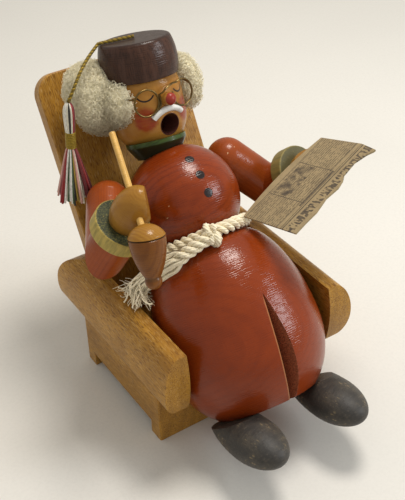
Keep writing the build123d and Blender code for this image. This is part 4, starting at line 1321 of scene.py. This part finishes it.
class SMOKER_OT_tassel(bpy.types.Operator):
    """Twists the gold cord and ties the tassel"""

    bl_idname = "smoker.tassel"
    bl_label = "Cord and tassel"

    def execute(self, context):
        paint = palette(context)
        sizes = context.scene.smoker_sizes
        gold = self.gold(paint)
        plies = [gold, self.gold(paint, 0.42)]
        first, last = (Vector(point) * MM for point in CAP_CORD)
        flat = [first.lerp(last, number / 20) for number in range(21)]
        on_cap = tubes("gold_cord_cap", self.twisted(flat), PLY_RADIUS * MM, plies)
        keep(on_cap, "torso", "gold_cord", "cap_cord")
        line = smooth_route(CORD_ROUTE)
        cord = tubes("gold_cord", self.twisted(line), PLY_RADIUS * MM, plies)
        keep(cord, "tassel", "gold_cord", "tassel_cord")
        threads = self.threads()
        head = self.tassel_head(sizes, threads)
        skirt = self.tassel_skirt(sizes, threads)
        band = self.tassel_band(gold)
        return {"FINISHED"}

    def gold(self, paint, share=1.0):
        """Gold thread; a share below 1 darkens it."""
        finish = Finish("gold_thread", Metallic=0.55, Specular_IOR_Level=0.5)
        fine = finish.noise(0.3, 3.0, 0.6)
        bright = darkened(paint.gold, share)
        # Painted shade in the thread's hollows, laid by noise
        finish.colour(finish.stain(bright, darkened(GOLD_HOLLOW_PAINTED_SHADE, share), fine, 0.4, 0.7, 0.6))
        finish.bump(fine, 0.1)
        finish.rough(fine, 0.3, 0.55)
        return finish

    def threads(self):
        """One finish for each colour of thread."""
        made = []
        for name, red, green, blue in THREADS:
            finish = Finish("thread_" + name, Sheen_Weight=0.2, Specular_IOR_Level=0.4)
            fine = finish.noise(0.3, 3.0, 0.6, TASSEL, (1, 1, 5))
            base = linear((red / 255, green / 255, blue / 255))
            finish.colour(finish.stain(base, darkened(base, 0.5), fine, 0.4, 0.7, 0.7))
            finish.bump(fine, 0.06)
            finish.rough(fine, 0.4, 0.7)
            made.append(finish)
        return made

    def twisted(self, line):
        """The light and the dark ply of a twisted cord along a line."""
        marks = along(line, 260)
        ways = side_ways([point for point, goal in marks], (0.1, 0.2, 1))
        runs = []
        for ply in range(2):
            run = []
            for (point, goal), (side, up) in zip(marks, ways):
                turn = math.tau * (goal / (CORD_LAY * MM) + ply / 2)
                run.append(point + (side * math.cos(turn) + up * math.sin(turn)) * (PLY_REACH * MM))
            runs.append((run, ply, None))
        return runs

    def thread_at(self, order, turn, layer=1.0):
        """The number of a thread's colour by where it lies across the view."""
        across = (layer * math.cos(turn - RIGHT_OF_VIEW) + 1) / 2
        return order[min(int(across * len(order)), len(order) - 1)]

    def tassel_head(self, sizes, threads):
        """Threads that are folded over the cord and drawn in to the band."""
        runs = []
        for number in range(sizes.head_threads):
            turn = math.tau * number / sizes.head_threads
            run = []
            for step in range(21):
                share = step / 20
                dome = min(1.0, 0.02 + share / 0.35)
                reach = 1.9 * math.sqrt(dome * (2 - dome)) - 0.9 * max(0.0, share - 0.5)
                run.append(round_z(TASSEL, turn, reach, -TASSEL_HEAD * share - 0.2))
            runs.append((run, self.thread_at(HEAD_ORDER, turn), None))
        piece = tubes("tassel_head_threads", runs, 0.00052, threads)
        return keep(piece, "tassel", "tassel_threads", "tassel_head")

    def tassel_band(self, gold):
        """Gold thread wound round the neck of the tassel, over a core."""
        run = []
        for step in range(BAND_TURNS * BAND_STEPS + 1):
            drop = TASSEL_BAND * step / (BAND_TURNS * BAND_STEPS)
            run.append(round_z(TASSEL, math.tau * step / BAND_STEPS, BAND_RADIUS, BAND_TOP - drop))
        inner = [spot(TASSEL, 0, 0, BAND_TOP - TASSEL_BAND * number / 4) for number in range(5)]
        piece = tubes("tassel_wrap", [(run, 0, None), (inner, 0, [4.9] * 5)], 0.00033, [gold])
        return keep(piece, "tassel", "tassel_wrap", "tassel_band")

    def tassel_skirt(self, sizes, threads):
        """Loose threads that hang from the band."""
        luck = random.Random(3)
        runs = []
        for number in range(sizes.skirt_threads):
            turn = math.tau * (number / sizes.skirt_threads) + luck.uniform(-0.12, 0.12)
            layer = math.sqrt(luck.uniform(0.12, 1.0))
            length = SKIRT_LENGTH - luck.uniform(0, 2.2)
            phase = luck.uniform(*ANY_PHASE)
            wave = luck.uniform(0.1, 0.35)
            run = []
            for step in range(13):
                share = step / 12
                reach = layer * (1.6 + 5.2 * share ** 0.85)
                sway = wave * math.sin(phase + 5.0 * share) * share
                lean = 1.5 * share * max(0.0, math.cos(turn - RIGHT_OF_VIEW))
                x = reach * math.cos(turn) + sway + lean
                y = reach * math.sin(turn) + sway * 0.6
                run.append(spot(TASSEL, x, y, SKIRT_TOP - length * share))
            runs.append((run, self.thread_at(SKIRT_ORDER, turn, layer), None))
        piece = tubes("tassel_skirt_threads", runs, sizes.thread_radius, threads)
        return keep(piece, "tassel", "tassel_threads", "tassel_skirt")


class SMOKER_OT_stage(bpy.types.Operator):
    """Sets the floor, the lights and the camera"""

    bl_idname = "smoker.stage"
    bl_label = "Stage"

    def execute(self, context):
        stage = context.scene.smoker_stage
        self.floor(palette(context))
        self.camera(stage)
        self.light("lamp", way=(0.27, 0.08, 0.96), distance=0.62, size=0.22, power=stage.lamp,
                   tint=(1.0, 0.95, 0.88))
        self.light("window", way=(0.67, -0.58, 0.47), distance=0.75, size=0.28, power=stage.window,
                   tint=(0.90, 0.95, 1.0))
        world = context.scene.world or bpy.data.worlds.new("studio")
        context.scene.world = world
        world.use_nodes = True
        room = world.node_tree.nodes["Background"]
        room.inputs["Color"].default_value = ROOM_TINT
        room.inputs["Strength"].default_value = stage.fill
        context.scene.view_settings.view_transform = "Standard"
        return {"FINISHED"}

    def floor(self, paint):
        """A wide pale floor just under the object's feet."""
        shape = bmesh.new()
        bmesh.ops.create_grid(shape, x_segments=8, y_segments=8, size=3.0)
        bmesh.ops.translate(shape, verts=shape.verts, vec=(0, 0, -0.0002))
        mesh = stored(shape, "floor")
        floor = link("floor", mesh)
        cloth = Finish("pale_floor", Specular_IOR_Level=0.1)
        weave = cloth.noise(1.4, 3.0, 0.6)
        dim = darkened(paint.floor, 0.9)
        tone = cloth.stain(paint.floor, dim, weave, 0.4, 0.7, 0.35)
        cloth.colour(cloth.stain(tone, dim, cloth.noise(160.0, 2.0), 0.35, 0.7, 0.3))
        cloth.bump(weave, 0.05)
        cloth.rough(weave, 0.85, 1.0)
        mesh.materials.append(cloth.material)

    def camera(self, stage):
        """The photo's camera."""
        data = bpy.data.cameras.new("camera")
        data.lens = stage.lens
        data.sensor_width = 36.0
        data.clip_start = 0.01
        camera = link("camera", data)
        stand = Vector(stage.camera_place)
        back = (stand - Vector(stage.camera_target)).normalized()
        right = Vector((0, 0, 1)).cross(back).normalized()
        up = back.cross(right)
        roll = stage.camera_roll
        turned_right = right * math.cos(roll) + up * math.sin(roll)
        turned_up = up * math.cos(roll) - right * math.sin(roll)
        turn = Matrix((turned_right, turned_up, back)).transposed()
        camera.matrix_world = Matrix.Translation(stand) @ turn.to_4x4()
        bpy.context.scene.camera = camera

    def light(self, name, way, distance, size, power, tint):
        """A round softbox that looks at the object from a way."""
        data = bpy.data.lights.new(name, "AREA")
        data.shape = "DISK"
        data.size = size
        data.energy = power
        data.color = tint
        lamp = link(name, data)
        out = Vector(way).normalized()
        lamp.matrix_world = facing(Vector((0, 0.02, 0.06)) + out * distance, out, (1, 0, 0))


class SMOKER_PT_panel(bpy.types.Panel):
    """Lists the figure's pieces and settings"""

    bl_idname = "SMOKER_PT_panel"
    bl_label = "Smoking figure"
    bl_space_type = "VIEW_3D"
    bl_region_type = "UI"
    bl_category = "Smoker"

    def draw(self, context):
        layout = self.layout
        for operator in OPERATORS:
            layout.operator(operator.bl_idname)
        for title, group in (("Colours", context.scene.smoker_colours), ("Sizes", context.scene.smoker_sizes),
                             ("Stage", context.scene.smoker_stage)):
            box = layout.box()
            box.label(text=title)
            for key in setting_names(group):
                box.prop(group, key)


OPERATORS = (SMOKER_OT_stage, SMOKER_OT_belt, SMOKER_OT_tassel, SMOKER_OT_chair, SMOKER_OT_robe,
             SMOKER_OT_shoes, SMOKER_OT_face, SMOKER_OT_glasses, SMOKER_OT_cap, SMOKER_OT_hands,
             SMOKER_OT_newspaper, SMOKER_OT_hair)
CLASSES = (SmokerColours, SmokerSizes, SmokerStage) + OPERATORS + (SMOKER_PT_panel,)


def register():
    for kind in CLASSES:
        bpy.utils.register_class(kind)
    bpy.types.Scene.smoker_colours = PointerProperty(type=SmokerColours)
    bpy.types.Scene.smoker_sizes = PointerProperty(type=SmokerSizes)
    bpy.types.Scene.smoker_stage = PointerProperty(type=SmokerStage)


def unregister():
    del bpy.types.Scene.smoker_stage
    del bpy.types.Scene.smoker_sizes
    del bpy.types.Scene.smoker_colours
    for kind in reversed(CLASSES):
        bpy.utils.unregister_class(kind)


def main():
    register()
    for operator in OPERATORS:
        group, action = operator.bl_idname.split(".")
        getattr(getattr(bpy.ops, group), action)()


if __name__ == "__main__":
    main()
